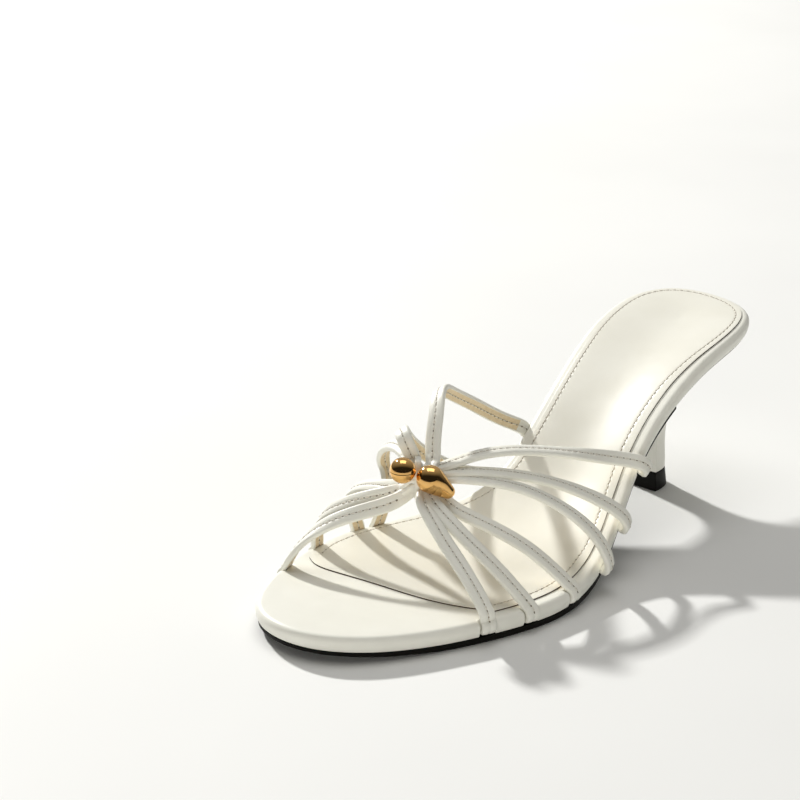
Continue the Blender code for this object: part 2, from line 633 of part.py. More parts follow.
def outsole_thickness(along):
    """Thickness of the outsole, which thins under the arch and towards the toe tip."""
    along = np.asarray(along)
    share = smooth((along - OUTSOLE_THIN_AT) / (OUTSOLE_THINS_FROM - OUTSOLE_THIN_AT))
    toe = smooth((along - OUTSOLE_TOE_FROM) / (OUTLINE[TOE_CONTROL, 1] - OUTSOLE_TOE_FROM))
    thickness = OUTSOLE_WAIST_THICKNESS + (OUTSOLE_FRONT_THICKNESS - OUTSOLE_WAIST_THICKNESS) * share
    return thickness - (OUTSOLE_FRONT_THICKNESS - OUTSOLE_TOE_THICKNESS) * toe


def build_outsole(rubber):
    """Outsole from the heel breast to the toe."""
    start = BREAST_TOP + GAP

    def top(along):
        """Height of the outsole's upper face."""
        return footbed_bottom(along) - GAP

    def base(along):
        """Height of the outsole's tread."""
        return top(along) - outsole_thickness(along)

    rings = [cut_ring(SIDE_TUCK + 0.5, start, base),
             cut_ring(SIDE_TUCK, start, lambda s: base(s) + 0.5),
             cut_ring(SIDE_TUCK, start, top)]
    return closed_loft("outsole", rings, lambda s, mid: base(s), lambda s, mid: top(s), rubber)


def column_plan(half_width, depth, front, points):
    """Plan of the heel's column: a flat breast and a round back, as an even number of points."""
    arc_turns = np.linspace(0.0, math.pi, points - 1)
    back = np.column_stack([half_width * np.sign(np.cos(arc_turns)) * np.abs(np.cos(arc_turns)) ** 0.8,
                            front - depth * np.abs(np.sin(arc_turns)) ** 0.8])
    return np.vstack([[(0.0, front)], back])


def build_heel(leather):
    """Covered heel that spreads from a slim column to the whole seat."""
    half = len(EDGE) // 2
    seat = EDGE - EDGE_OUT * SEAT_INSET
    outer, inner = seat[1:half], seat[:half:-1]
    start = BREAST_TOP
    keep_outer, keep_inner = outer[outer[:, 1] < start - 1.0], inner[inner[:, 1] < start - 1.0]
    count = min(len(keep_outer), len(keep_inner))
    ends = [[np.interp(start, side[:, 1], side[:, 0]), start] for side in (outer, inner)]
    middle = [(ends[0][0] + ends[1][0]) / 2.0, start]
    plan = np.vstack([[middle], [ends[0]], keep_outer[:count][::-1], seat[:1], keep_inner[:count], [ends[1]]])
    top = np.column_stack([plan, footbed_bottom(plan[:, 1]) - GAP])

    levels = np.concatenate([np.linspace(0.0, 0.35, 4), np.linspace(0.45, 1.0, 10)])
    rings = []
    for level in levels:
        up = LIFT_HEIGHT + GAP + (top[:, 2] - LIFT_HEIGHT - GAP) * level
        neck = smooth((up - LIFT_HEIGHT) / (HEEL_FLARE_START - LIFT_HEIGHT))
        width = HEEL_HALF_WIDTH + (HEEL_NECK_HALF_WIDTH - HEEL_HALF_WIDTH) * neck
        depth = HEEL_DEPTH + (HEEL_NECK_DEPTH - HEEL_DEPTH) * neck
        column = column_plan(1.0, 1.0, 0.0, len(plan))
        column = np.column_stack([column[:, 0] * width, HEEL_FRONT + column[:, 1] * depth])
        share = np.clip((up - HEEL_FLARE_START) / (top[:, 2] - HEEL_FLARE_START), 0.0, 1.0)
        share = (share ** HEEL_FLARE_POWER)[:, None]
        rings.append(np.column_stack([column * (1.0 - share) + plan * share, up]))
    return closed_loft("heel", rings, lambda s, mid: np.full(len(s), LIFT_HEIGHT + GAP),
                       lambda s, mid: footbed_bottom(s) - GAP, leather)


def build_top_lift(rubber):
    """Hard top piece under the heel's column."""
    shapes = ((LIFT_HALF_WIDTH - 0.5, HEEL_DEPTH + 0.6, 0.0), (LIFT_HALF_WIDTH, HEEL_DEPTH + 1.6, 0.5),
              (HEEL_HALF_WIDTH, HEEL_DEPTH, LIFT_HEIGHT))
    rings = []
    for half_width, depth, up in shapes:
        front = HEEL_FRONT + (depth - HEEL_DEPTH) / 4.0
        plan = column_plan(half_width, depth, front, 32)
        rings.append(np.column_stack([plan, np.full(len(plan), up)]))
    return closed_loft("heel_top_lift", rings, lambda s, mid: np.zeros(len(s)),
                       lambda s, mid: np.full(len(s), LIFT_HEIGHT), rubber)


def build_upper(leather):
    """Twelve half straps joined in the gather as one solid."""
    upper = ellipsoid("upper", KNOT, (GATHER_AXIS, GATHER_DEPTH, UP), CORE_SIZE, leather)
    for strap in STRAPS:
        line, width, face, _, _ = strap_frames(strap)
        half = STRAP_THICKNESS / 2.0
        tool = band(strap["name"], line, width, face, STRAP_WIDTH / 2.0, half, half)
        boolean(upper, tool, "UNION")
    return upper


def cut_strap_seats(midsole):
    """Cut the notches and pockets that hold the straps' ends in the midsole."""
    for strap in STRAPS:
        line, width, face, travelled, edge_at = strap_frames(strap)
        keep = travelled > edge_at - SEAT_LEAD
        line, width, face = line[keep], width[keep], face[keep]
        line[-1] += unit(line[-1] - line[-2]) * GAP
        half = STRAP_THICKNESS / 2.0 + SEAT_CLEARANCE
        tool = band("seat", line, width, face, STRAP_WIDTH / 2.0 + SEAT_CLEARANCE, half, half + SEAT_OPENING)
        boolean(midsole, tool, "DIFFERENCE")


def wrap_ring(name, grow, material=None):
    """The band round the gather, a rounded oblong ring, larger by grow on every side."""
    turns = np.linspace(0.0, 2.0 * math.pi, 32, endpoint=False)
    round_off = np.sign(np.cos(turns)) * np.abs(np.cos(turns)) ** 0.55
    stand_off = np.sign(np.sin(turns)) * np.abs(np.sin(turns)) ** 0.55
    half, corner = WRAP_WIDTH / 2.0 + grow, 0.25
    inside, outside = -grow, WRAP_THICKNESS + grow
    section = ((-half, inside), (half, inside), (half, outside - corner), (half - corner, outside),
               (-half + corner, outside), (-half, outside - corner))
    rings = [KNOT + GATHER_AXIS * offset + np.outer(round_off * (WRAP_HOLE[0] + out), GATHER_DEPTH)
             + np.outer(stand_off * (WRAP_HOLE[1] + out), UP) for offset, out in section]
    count, low = len(turns), len(turns) * (len(rings) - 1)
    closing = [(low + i, low + (i + 1) % count, (i + 1) % count, i) for i in range(count)]
    return new_object(name, np.vstack(rings), skin(rings) + closing, material, KNOT)


def turned_bead(name, centre, tip, radius, tip_radius, material=None, segments=18):
    """A bead turned round the line from its round end's centre to its tip's centre."""
    reach = np.linalg.norm(tip - centre)
    axis = unit(tip - centre) if reach > 0.0 else UP
    lean = math.asin((radius - tip_radius) / reach) if reach > 0.0 else 0.0
    side = unit(np.cross(axis, (0.31, 0.17, 0.93)))
    front = np.cross(side, axis)
    turns = np.linspace(0.0, 2.0 * math.pi, segments, endpoint=False)
    split = math.pi / 2.0 - lean
    profile = [(-radius * math.cos(a), radius * math.sin(a))
               for a in np.linspace(0.0, math.pi - split, 9)[1:]]
    profile += [(reach + tip_radius * math.cos(a), tip_radius * math.sin(a))
                for a in np.linspace(split, 0.0, 7)[(0 if reach > 0.0 else 1):-1]]
    rings = [centre + axis * along + np.outer(np.cos(turns) * out, side)
             + np.outer(np.sin(turns) * out, front) for along, out in profile]
    ends = [centre - axis * radius, centre + axis * (reach + tip_radius)]
    total = segments * len(rings)
    faces = skin(rings)
    for index in range(segments):
        after = (index + 1) % segments
        faces.append((total, after, index))
        faces.append((total + 1, total - segments + index, total - segments + after))
    return new_object(name, np.vstack(rings + [ends]), faces, material, centre)


def bead_round(name, grow, material=None):
    """Round bead beside the gather."""
    centre = at_knot(BALL_OFFSET)
    return turned_bead(name, centre, centre, BALL_RADIUS + grow, BALL_RADIUS + grow, material)


def bead_drop(name, grow, material=None):
    """Drop-shaped bead on the gather's outer side."""
    return turned_bead(name, at_knot(DROP_OFFSET), at_knot(DROP_TIP_OFFSET), DROP_RADIUS + grow,
                       DROP_TIP_RADIUS + grow, material)


def main():
    """Build every piece of the sandal."""
    for piece in list(bpy.data.objects):
        bpy.data.objects.remove(piece, do_unlink=True)
    cream = material("cream_leather", (0.86, 0.82, 0.74), 0.42)
    lining = material("cream_insole", (0.88, 0.85, 0.78), 0.38)
    rubber = material("black_rubber", (0.015, 0.015, 0.014), 0.55)
    gold = material("polished_gold", (0.83, 0.55, 0.22), 0.12, 1.0)

    midsole = build_midsole(cream)
    cut_strap_seats(midsole)
    upper = build_upper(cream)
    for shape in (wrap_ring, bead_round, bead_drop):
        boolean(upper, shape("room", GAP), "DIFFERENCE")
    fill_pockets(upper)
    pieces = [midsole, upper, build_insole(lining), build_outsole(rubber), build_heel(cream),
              build_top_lift(rubber), wrap_ring("knot_wrap", 0.0, cream),
              bead_round("bead_round", 0.0, gold), bead_drop("bead_drop", 0.0, gold)]
    sandal = bpy.data.objects.new("sandal", None)
    bpy.context.scene.collection.objects.link(sandal)
    for piece in pieces:
        shade(piece)
        piece.parent = sandal


main()
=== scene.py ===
"""Looks of a strappy kitten-heel mule sandal for a left foot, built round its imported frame.

Sizes are millimetres on the shoe's own last: "across" grows to the outer side of the foot, "along"
runs from the back of the heel to the toe and "up" starts at the ground. Last.to_world turns them into
metres in the frame, whose origin is on the ground under the middle of the shoe.
"""

from __future__ import annotations

import logging
import math
from dataclasses import dataclass, field
from enum import Enum

import bpy
import numpy as np
from mathutils import Euler, Matrix

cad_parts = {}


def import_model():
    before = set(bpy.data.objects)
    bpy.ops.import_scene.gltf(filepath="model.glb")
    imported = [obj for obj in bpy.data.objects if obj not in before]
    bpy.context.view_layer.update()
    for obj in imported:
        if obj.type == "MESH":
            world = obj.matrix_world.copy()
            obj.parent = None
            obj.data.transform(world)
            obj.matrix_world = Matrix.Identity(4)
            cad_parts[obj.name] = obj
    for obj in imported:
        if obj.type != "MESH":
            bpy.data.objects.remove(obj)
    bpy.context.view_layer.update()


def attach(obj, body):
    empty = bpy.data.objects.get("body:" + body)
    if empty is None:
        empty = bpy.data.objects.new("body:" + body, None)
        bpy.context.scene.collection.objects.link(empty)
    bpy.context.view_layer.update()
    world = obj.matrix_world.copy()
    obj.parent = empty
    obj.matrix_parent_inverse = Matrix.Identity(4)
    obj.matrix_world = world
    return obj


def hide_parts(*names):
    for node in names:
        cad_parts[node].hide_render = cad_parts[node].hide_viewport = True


MM = 0.001
UP = np.array([0.0, 0.0, 1.0])
Triple = tuple[float, float, float]
log = logging.getLogger("sandal")


# --------------------------------------------------------------------------------- numeric tools


def unit(vector: np.ndarray) -> np.ndarray:
    """Return a vector, or each row of an array, at length one."""
    vector = np.asarray(vector, float)
    return vector / np.linalg.norm(vector, axis=-1, keepdims=True)


def ease(value: np.ndarray | float) -> np.ndarray:
    """Ease from 0 to 1 between 0 and 1: three times the square less twice the cube."""
    value = np.clip(value, 0.0, 1.0)
    return value * value * (3.0 - 2.0 * value)


def bump(value: np.ndarray, centre: float, half_width: float) -> np.ndarray:
    """A soft ridge of height 1 at centre that ends half_width away on both sides."""
    return ease(1.0 - np.abs(value - centre) / half_width)


def rounded(value: np.ndarray, power: float) -> np.ndarray:
    """A sine or cosine to a power, its sign kept: powers under one make a circle squarer."""
    return np.sign(value) * np.abs(value) ** power


def soften(rows: np.ndarray, times: int) -> np.ndarray:
    """Round a closed run of rows: each becomes half itself and a quarter of each neighbour."""
    for _ in range(times):
        rows = rows * 0.5 + (np.roll(rows, 1, axis=0) + np.roll(rows, -1, axis=0)) * 0.25
    return rows


def relax(rows: np.ndarray, at: np.ndarray, ends: tuple[float, float], over: float, times: int) -> None:
    """Move the inner rows of an open run towards the mean of their neighbours, in place.

    Args:
        rows: the rows.
        at: each row's distance along the run.
        ends: distances before the first and after the second of which rows stay.
        over: over this distance the move eases from nothing to half the way.
        times: how often the rows move.
    """
    free = (ease((at - ends[0]) / over) * ease((ends[1] - at) / over) * 0.5)[1:-1, None]
    for _ in range(times):
        rows[1:-1] += free * ((rows[:-2] + rows[2:]) / 2.0 - rows[1:-1])


def hermite(values: np.ndarray, grades: np.ndarray, cell: np.ndarray, part: np.ndarray,
            step: np.ndarray) -> np.ndarray:
    """Cubics with given end values and end slopes.

    Args:
        values: the rows' values.
        grades: the rows' slopes.
        cell: for each point, the row that its span starts at.
        part: how far along its span it is, from 0 to 1.
        step: the span's length.

    Returns:
        The sum of both end values and both end slopes, each weighted by its own cubic of the part.
    """
    return ((1 + 2 * part) * (1 - part) ** 2 * values[cell] + part * (1 - part) ** 2 * step * grades[cell]
            + part ** 2 * (3 - 2 * part) * values[cell + 1]
            - part ** 2 * (1 - part) * step * grades[cell + 1])


def spline(knots: np.ndarray, values: np.ndarray, at: np.ndarray, closed: bool = False) -> np.ndarray:
    """Read a cubic spline through rows of values.

    Args:
        knots: rising parameter of each row.
        values: rows that the curve passes through; a closed curve repeats its first row last.
        at: parameters to read.
        closed: whether slope and curvature match at the two ends.

    Returns:
        One row for each parameter. Each span is the cubic with its end values and end slopes, and the
        slopes solve the linear system that makes the curvature continuous.
    """
    steps = np.diff(knots)
    slopes = np.diff(values, axis=0) / steps[:, None]
    count = len(knots)
    matrix = np.zeros((count, count))
    right = np.zeros((count, values.shape[1]))
    rows = np.arange(1, count - 1)
    matrix[rows, rows - 1] = steps[1:]
    matrix[rows, rows] = 2.0 * (steps[:-1] + steps[1:])
    matrix[rows, rows + 1] = steps[:-1]
    right[1:-1] = 3.0 * (steps[1:, None] * slopes[:-1] + steps[:-1, None] * slopes[1:])
    if closed:
        matrix[0, (0, -1)] = (1.0, -1.0)
        matrix[-1, (0, 1)] = (2.0 * steps[-1], steps[-1])
        matrix[-1, -2:] = (steps[0], 2.0 * steps[0])
        right[-1] = 3.0 * (steps[-1] * slopes[0] + steps[0] * slopes[-1])
    else:
        matrix[0, :2] = (2.0, 1.0)
        matrix[-1, -2:] = (1.0, 2.0)
        right[0], right[-1] = 3.0 * slopes[0], 3.0 * slopes[-1]
    grades = np.linalg.solve(matrix, right)
    cell = np.clip(np.searchsorted(knots, at, side="right") - 1, 0, count - 2)
    part = ((at - knots[cell]) / steps[cell])[:, None]
    step = steps[cell][:, None]
    return hermite(values, grades, cell, part, step)


def monotone(table: np.ndarray, at: np.ndarray) -> np.ndarray:
    """Read a two-column table with a cubic that never overshoots its rows.

    Args:
        table: rows of a rising parameter and a value.
        at: parameters to read, held inside the table's range.

    Returns:
        The values. Slopes at the rows are weighted harmonic means of the slopes on both sides.
    """
    knots, values = table[:, 0], table[:, 1]
    steps, slopes = np.diff(knots), np.diff(values) / np.diff(knots)
    grades = np.zeros(len(knots))
    grades[0], grades[-1] = slopes[0], slopes[-1]
    same = slopes[:-1] * slopes[1:] > 0.0
    before, after = 2 * steps[1:] + steps[:-1], steps[1:] + 2 * steps[:-1]
    grades[1:-1][same] = ((before + after)[same]
                          / (before[same] / slopes[:-1][same] + after[same] / slopes[1:][same]))
    at = np.clip(at, knots[0], knots[-1])
    cell = np.clip(np.searchsorted(knots, at, side="right") - 1, 0, len(steps) - 1)
    part, step = (at - knots[cell]) / steps[cell], steps[cell]
    return hermite(values, grades, cell, part, step)


def lengths(line: np.ndarray) -> np.ndarray:
    """Distance travelled along a polyline at each of its points."""
    return np.concatenate([[0.0], np.cumsum(np.linalg.norm(np.diff(line, axis=0), axis=1))])


def read_rows(at: np.ndarray, knots: np.ndarray, rows: np.ndarray) -> np.ndarray:
    """Interpolate every column of rows linearly at the parameters."""
    return np.column_stack([np.interp(at, knots, rows[:, column]) for column in range(rows.shape[1])])


def pack_evenly(total: float, count: int, places: np.ndarray, reach: float, crowding: float) -> np.ndarray:
    """Spread points along a length, closer together round some places.

    Args:
        total: length to fill.
        count: how many points, the first at 0 and the last at the full length.
        places: where they crowd.
        reach: how far from a place the crowding ends.
        crowding: how many times denser they are there.

    Returns:
        The points' distances, read from the inverse of the summed density.
    """
    fine = np.linspace(0.0, total, 6000)
    near = np.abs(fine[:, None] - places[None, :]).min(axis=1) if len(places) else np.full(len(fine), 1e9)
    density = 1.0 + (crowding - 1.0) * ease((reach - near) / (0.3 * reach) + 0.5)
    summed = np.concatenate([[0.0], np.cumsum((density[1:] + density[:-1]) / 2.0 * np.diff(fine))])
    return np.interp(np.linspace(0.0, summed[-1], count), summed, fine)


# ---------------------------------------------------------------------------------- the last form


class Side(Enum):
    """A side of the foot, with the sign of its direction across."""

    OUTER = 1.0
    INNER = -1.0


@dataclass(frozen=True)
class Last:
    """The form that the shoe is made on: plan of the footbed, its side view and its hollow."""

    length: float = 240.2
    centre_across: float = 0.96
    gap: float = 0.3
    outline: np.ndarray = field(default_factory=lambda: np.array([
        # across, along: heel tip, outer side, toe tip, inner side
        (-4.3, 0.0), (14.0, 5.5), (24.5, 19.5), (27.5, 39.8), (27.6, 65.9), (29.9, 93.9),
        (38.9, 122.0), (45.6, 146.8), (44.8, 171.3), (35.6, 198.9), (22.5, 223.0), (6.9, 237.2),
        (-9.9, 240.2), (-25.0, 233.3), (-36.4, 215.6), (-43.5, 192.9), (-43.8, 167.0),
        (-34.2, 142.9), (-22.3, 119.7), (-20.3, 98.5), (-23.8, 70.0), (-28.5, 41.4),
        (-29.0, 19.1), (-21.0, 4.2), (-4.3, 0.0),
    ]))
    toe_row: int = 12
    side_points: int = 1400
    profile: np.ndarray = field(default_factory=lambda: np.array([
        # along, up: the footbed's top edge from the heel seat to the toe
        (0.0, 66.4), (17.5, 65.2), (32.5, 63.0), (47.5, 59.7), (62.5, 54.0), (77.5, 45.7),
        (92.5, 35.2), (107.5, 23.9), (122.5, 15.2), (137.5, 10.4), (152.0, 8.5), (165.0, 8.0),
        (200.0, 8.0), (218.0, 8.5), (240.2, 9.8),
    ]))
    hollows: np.ndarray = field(default_factory=lambda: np.array([
        # along, depth: how far the footbed's middle lies under its rim
        (0.0, 0.0), (8.0, 0.6), (25.0, 1.7), (60.0, 2.2), (110.0, 2.0), (150.0, 0.8), (200.0, 0.5),
        (240.2, 0.0),
    ]))
    rand_height: float = 5.5
    shoulder: float = 2.4
    side_tuck: float = 0.8

    def to_world(self, points: np.ndarray) -> np.ndarray:
        """Turn millimetres on the last into metres in the frame."""
        points = np.asarray(points, float)
        return np.stack([points[..., 0] - self.centre_across, self.length / 2.0 - points[..., 1],
                         points[..., 2]], axis=-1) * MM

    def top(self, along: np.ndarray) -> np.ndarray:
        """Height of the footbed's top edge."""
        return monotone(self.profile, np.asarray(along, float))

    def bottom(self, along: np.ndarray) -> np.ndarray:
        """Height of the midsole's underside."""
        return self.top(along) - self.rand_height

    def hollow(self, along: np.ndarray) -> np.ndarray:
        """Depth of the footbed's hollow at its middle."""
        return monotone(self.hollows, np.asarray(along, float))

    def side(self, side: Side) -> tuple[np.ndarray, np.ndarray]:
        """Dense plan of one side, heel tip to toe tip, with its outward directions.

        Args:
            side: the side of the foot.

        Returns:
            Plan points a fifth of a millimetre apart or so, and unit directions out of the outline:
            the curve's direction turned by a right angle.
        """
        knots = np.arange(len(self.outline), dtype=float)
        last, nudge = float(knots[-1]), 0.01
        outer = side is Side.OUTER
        first, final = (0.0, float(self.toe_row)) if outer else (float(self.toe_row), last)
        at = np.linspace(first, final, self.side_points)
        plan = spline(knots, self.outline, at, closed=True)
        after = np.where(at + nudge > last, at + nudge - last, at + nudge)
        before = np.where(at - nudge < 0.0, at - nudge + last, at - nudge)
        run = unit(spline(knots, self.outline, after, True) - spline(knots, self.outline, before, True))
        out = np.column_stack([run[:, 1], -run[:, 0]])
        return (plan, out) if outer else (plan[::-1], out[::-1])

    def edge_frame(self, station: float, side: Side) -> tuple[np.ndarray, np.ndarray, np.ndarray]:
        """Edge point, outward direction and edge direction of the footbed at a station."""
        plan, out = self.side(side)
        order = np.argsort(plan[:, 1])
        point = np.array([np.interp(station, plan[order, 1], plan[order, 0]), station])
        out = unit(np.array([np.interp(station, plan[order, 1], out[order, axis]) for axis in (0, 1)]))
        run = np.array([-out[1], out[0]]) * side.value
        rise = float(self.bottom(station + 1.0) - self.bottom(station - 1.0)) / 2.0 * run[1]
        return point, np.append(out, 0.0), unit(np.array([run[0], run[1], rise]))


@dataclass
class Ring:
    """A closed plan of paired points, heel tip first and toe tip halfway, with its inner line.

    The inner line, or spine, runs down the middle of the plan and stops short of both tips, so that
    rows of points from the ring to the spine close a face with quads only.
    """

    plan: np.ndarray
    out: np.ndarray
    spine: np.ndarray

    @classmethod
    def around(cls, plan: np.ndarray, out: np.ndarray, heel_end: float, toe_end: float) -> Ring:
        """Pair a plan's two sides and find its spine.

        Args:
            plan: closed plan with an even number of points.
            out: its outward directions.
            heel_end: where the spine starts, counted along from the plan's lowest point.
            toe_end: where it stops, counted back from its highest point.

        Returns:
            The ring. The spine's place beside a point is the middle of the plan at the pair's mean
            station, scaled to the spine's own shorter range.
        """
        count = len(plan)
        half = count // 2
        mate = (-np.arange(count)) % count
        station = (plan[:, 1] + plan[mate, 1]) / 2.0
        low, high = station.min(), station.max()
        station = low + heel_end + (station - low) / (high - low) * (high - low - heel_end - toe_end)
        outer, inner = plan[:half + 1], plan[mate[:half + 1]]
        right = np.interp(station, *outer[np.argsort(outer[:, 1])].T[::-1])
        left = np.interp(station, *inner[np.argsort(inner[:, 1])].T[::-1])
        return cls(plan, out, np.column_stack([(left + right) / 2.0, station]))

    def inward(self, distance: float | np.ndarray) -> tuple[np.ndarray, np.ndarray]:
        """Plan moved towards the spine by a distance, and each point's share of the way there."""
        way = self.spine - self.plan
        share = distance / np.linalg.norm(way, axis=1)
        return self.plan + way * share[:, None], np.clip(share, 0.0, 1.0)

    def towards(self, start: np.ndarray, share: float) -> np.ndarray:
        """Plan between a moved plan and the spine."""
        return start * (1.0 - share) + self.spine * share


# ---------------------------------------------------------------------------------------- meshes


def lattice(ids: np.ndarray, wrap: bool = True) -> np.ndarray:
    """Quads between neighbouring rows of a grid of point numbers.

    Args:
        ids: point numbers, one row for each ring.
        wrap: whether the last column meets the first.

    Returns:
        Rows of four point numbers, which turn the same way for the whole grid.
    """
    after = np.roll(ids, -1, axis=1)
    quads = np.stack([ids[:-1], after[:-1], after[1:], ids[1:]], axis=-1)
    quads = quads if wrap else quads[:, :-1]
    return quads.reshape(-1, 4)


def capped(rings: int, count: int) -> tuple[np.ndarray, np.ndarray]:
    """Faces of a tube that closes on two end points, which are numbered after the rings' own points.

    Args:
        rings: how many rings it has.
        count: how many points a ring has.

    Returns:
        The quads between the rings and the triangles of the first and the last end.
    """
    ids = np.arange(rings * count).reshape(rings, count)
    after = np.roll(np.arange(count), -1)
    first = np.column_stack([after, np.arange(count), np.full(count, rings * count)])
    last = np.column_stack([ids[-1], ids[-1][after], np.full(count, rings * count + 1)])
    return lattice(ids), np.vstack([first, last])


def to_mesh(name: str, points: np.ndarray, faces: list[np.ndarray], finishes: list[bpy.types.Material],
            slots: list[np.ndarray] | None = None, sharp: float = 40.0) -> bpy.types.Object:
    """Make a mesh object from arrays.

    Args:
        name: the piece's name.
        points: rows of metres in the frame.
        faces: arrays of point numbers, one array for each number of corners.
        finishes: the materials.
        slots: for each array of faces, the number of each face's material.
        sharp: angle in degrees from which an edge is shaded sharp.

    Returns:
        The object, at the origin, with its faces pointing outwards.
    """
    mesh = bpy.data.meshes.new(name)
    mesh.vertices.add(len(points))
    mesh.vertices.foreach_set("co", np.ascontiguousarray(points, dtype=np.float32).ravel())
    corners = np.concatenate([part.ravel() for part in faces])
    sizes = np.concatenate([np.full(len(part), part.shape[1]) for part in faces])
    mesh.loops.add(len(corners))
    mesh.loops.foreach_set("vertex_index", corners.astype(np.int32))
    mesh.polygons.add(len(sizes))
    starts = np.concatenate([[0], np.cumsum(sizes)[:-1]])
    mesh.polygons.foreach_set("loop_start", starts.astype(np.int32))
    for finish in finishes:
        mesh.materials.append(finish)
    if slots is not None:
        mesh.polygons.foreach_set("material_index", np.concatenate(slots).astype(np.int32))
    mesh.update(calc_edges=True)
    mesh.validate()
    if signed_volume(points, faces) < 0.0:
        mesh.flip_normals()
    mesh.shade_smooth()
    mesh.set_sharp_from_angle(angle=math.radians(sharp))
    piece = bpy.data.objects.new(name, mesh)
    bpy.context.scene.collection.objects.link(piece)
    return piece


def signed_volume(points: np.ndarray, faces: list[np.ndarray]) -> float:
    """Volume inside the faces, below 0 where they point inwards: the sum over fans of triangles."""
    total = 0.0
    for part in faces:
        for corner in range(1, part.shape[1] - 1):
            first, second, third = points[part[:, 0]], points[part[:, corner]], points[part[:, corner + 1]]
            total += float(np.einsum("ij,ij->", first, np.cross(second, third)))
    return total / 6.0


def closed_stack(rings: list[np.ndarray]) -> tuple[np.ndarray, np.ndarray]:
    """Points and quads of a stack of rings whose first and last rings are folded onto the spine.

    Args:
        rings: arrays of the same number of points, with point i and point -i of the two end rings in
            the same place.

    Returns:
        The points and the quads; the folded rings' pairs share one number.
    """
    count = len(rings[0])
    ids = np.arange(len(rings) * count).reshape(len(rings), count)
    mate = (-np.arange(count)) % count
    for row in (0, -1):
        ids[row] = np.minimum(ids[row], ids[row][mate])
    quads = lattice(ids)
    used, packed = np.unique(quads, return_inverse=True)
    return np.vstack(rings)[used], packed.reshape(quads.shape)


def finish_piece(piece: bpy.types.Object, slot: str, *nodes: str) -> None:
    """Let a piece ride with the shoe and hide the CAD nodes that it stands for."""
    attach(piece, "root")
    if nodes:
        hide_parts(*nodes)
    log.info("%s: %d faces", piece.name, len(piece.data.polygons))


# -------------------------------------------------------------------------------------- finishes


def set_ramp(ramp: bpy.types.Node, low: float, low_colour: Triple, high: float, high_colour: Triple) -> None:
    """Give the two ends of a colour ramp their places and colours."""
    for end, place, colour in zip(ramp.color_ramp.elements, (low, high), (low_colour, high_colour)):
        end.position = place
        end.color = (*colour, 1.0)


class Graph:
    """A material's node tree, with short calls that add and join its nodes."""

    def __init__(self, name: str) -> None:
        """Start a material with a Principled shader."""
        self.material = bpy.data.materials.new(name)
        self.material.use_nodes = True
        self.tree = self.material.node_tree
        self.shader = self.tree.nodes["Principled BSDF"]
        self.coordinates = self.add("ShaderNodeTexCoord")

    def add(self, kind: str) -> bpy.types.Node:
        """Add a node."""
        return self.tree.nodes.new(kind)

    def join(self, source: bpy.types.NodeSocket, target: bpy.types.NodeSocket) -> None:
        """Link two sockets."""
        self.tree.links.new(source, target)

    def noise(self, scale: float, detail: float = 3.0) -> bpy.types.NodeSocket:
        """Noise on the object's own metres, with so many features to a metre."""
        texture = self.add("ShaderNodeTexNoise")
        texture.inputs["Scale"].default_value = scale
        texture.inputs["Detail"].default_value = detail
        texture.inputs["Roughness"].default_value = 0.55
        self.join(self.coordinates.outputs["Object"], texture.inputs["Vector"])
        return texture.outputs["Fac"]

    def cells(self, scale: float) -> bpy.types.NodeSocket:
        """Distance to the nearest of scattered points, for a pebbled grain."""
        texture = self.add("ShaderNodeTexVoronoi")
        texture.inputs["Scale"].default_value = scale
        self.join(self.coordinates.outputs["Object"], texture.inputs["Vector"])
        return texture.outputs["Distance"]

    def colour(self, low: Triple, high: Triple, scale: float, detail: float = 3.0) -> None:
        """Cloud the base colour between two by the middle third of a noise."""
        ramp = self.add("ShaderNodeValToRGB")
        set_ramp(ramp, 0.35, low, 0.65, high)
        self.join(self.noise(scale, detail), ramp.inputs["Fac"])
        self.join(ramp.outputs["Color"], self.shader.inputs["Base Color"])

    def gloss(self, low: float, high: float, scale: float, detail: float = 3.0) -> None:
        """Vary the roughness between two numbers by a noise from 0.3 to 0.7."""
        node = self.add("ShaderNodeMapRange")
        for key, value in (("From Min", 0.3), ("From Max", 0.7), ("To Min", low), ("To Max", high)):
            node.inputs[key].default_value = value
        self.join(self.noise(scale, detail), node.inputs["Value"])
        self.join(node.outputs["Result"], self.shader.inputs["Roughness"])

    def relief(self, heights: list[tuple[bpy.types.NodeSocket, float, float]]) -> None:
        """Stack bumps, each a height, a strength and a depth in metres, into the shader's normal."""
        normal = None
        for height, strength, depth in heights:
            node = self.add("ShaderNodeBump")
            node.inputs["Strength"].default_value = strength
            node.inputs["Distance"].default_value = depth
            self.join(height, node.inputs["Height"])
            if normal is not None:
                self.join(normal, node.inputs["Normal"])
            normal = node.outputs["Normal"]
        self.join(normal, self.shader.inputs["Normal"])

    def set(self, **values: float) -> None:
        """Set the shader's own numbers, with spaces in their names written as underscores."""
        for key, value in values.items():
            self.shader.inputs[key.replace("_", " ")].default_value = value


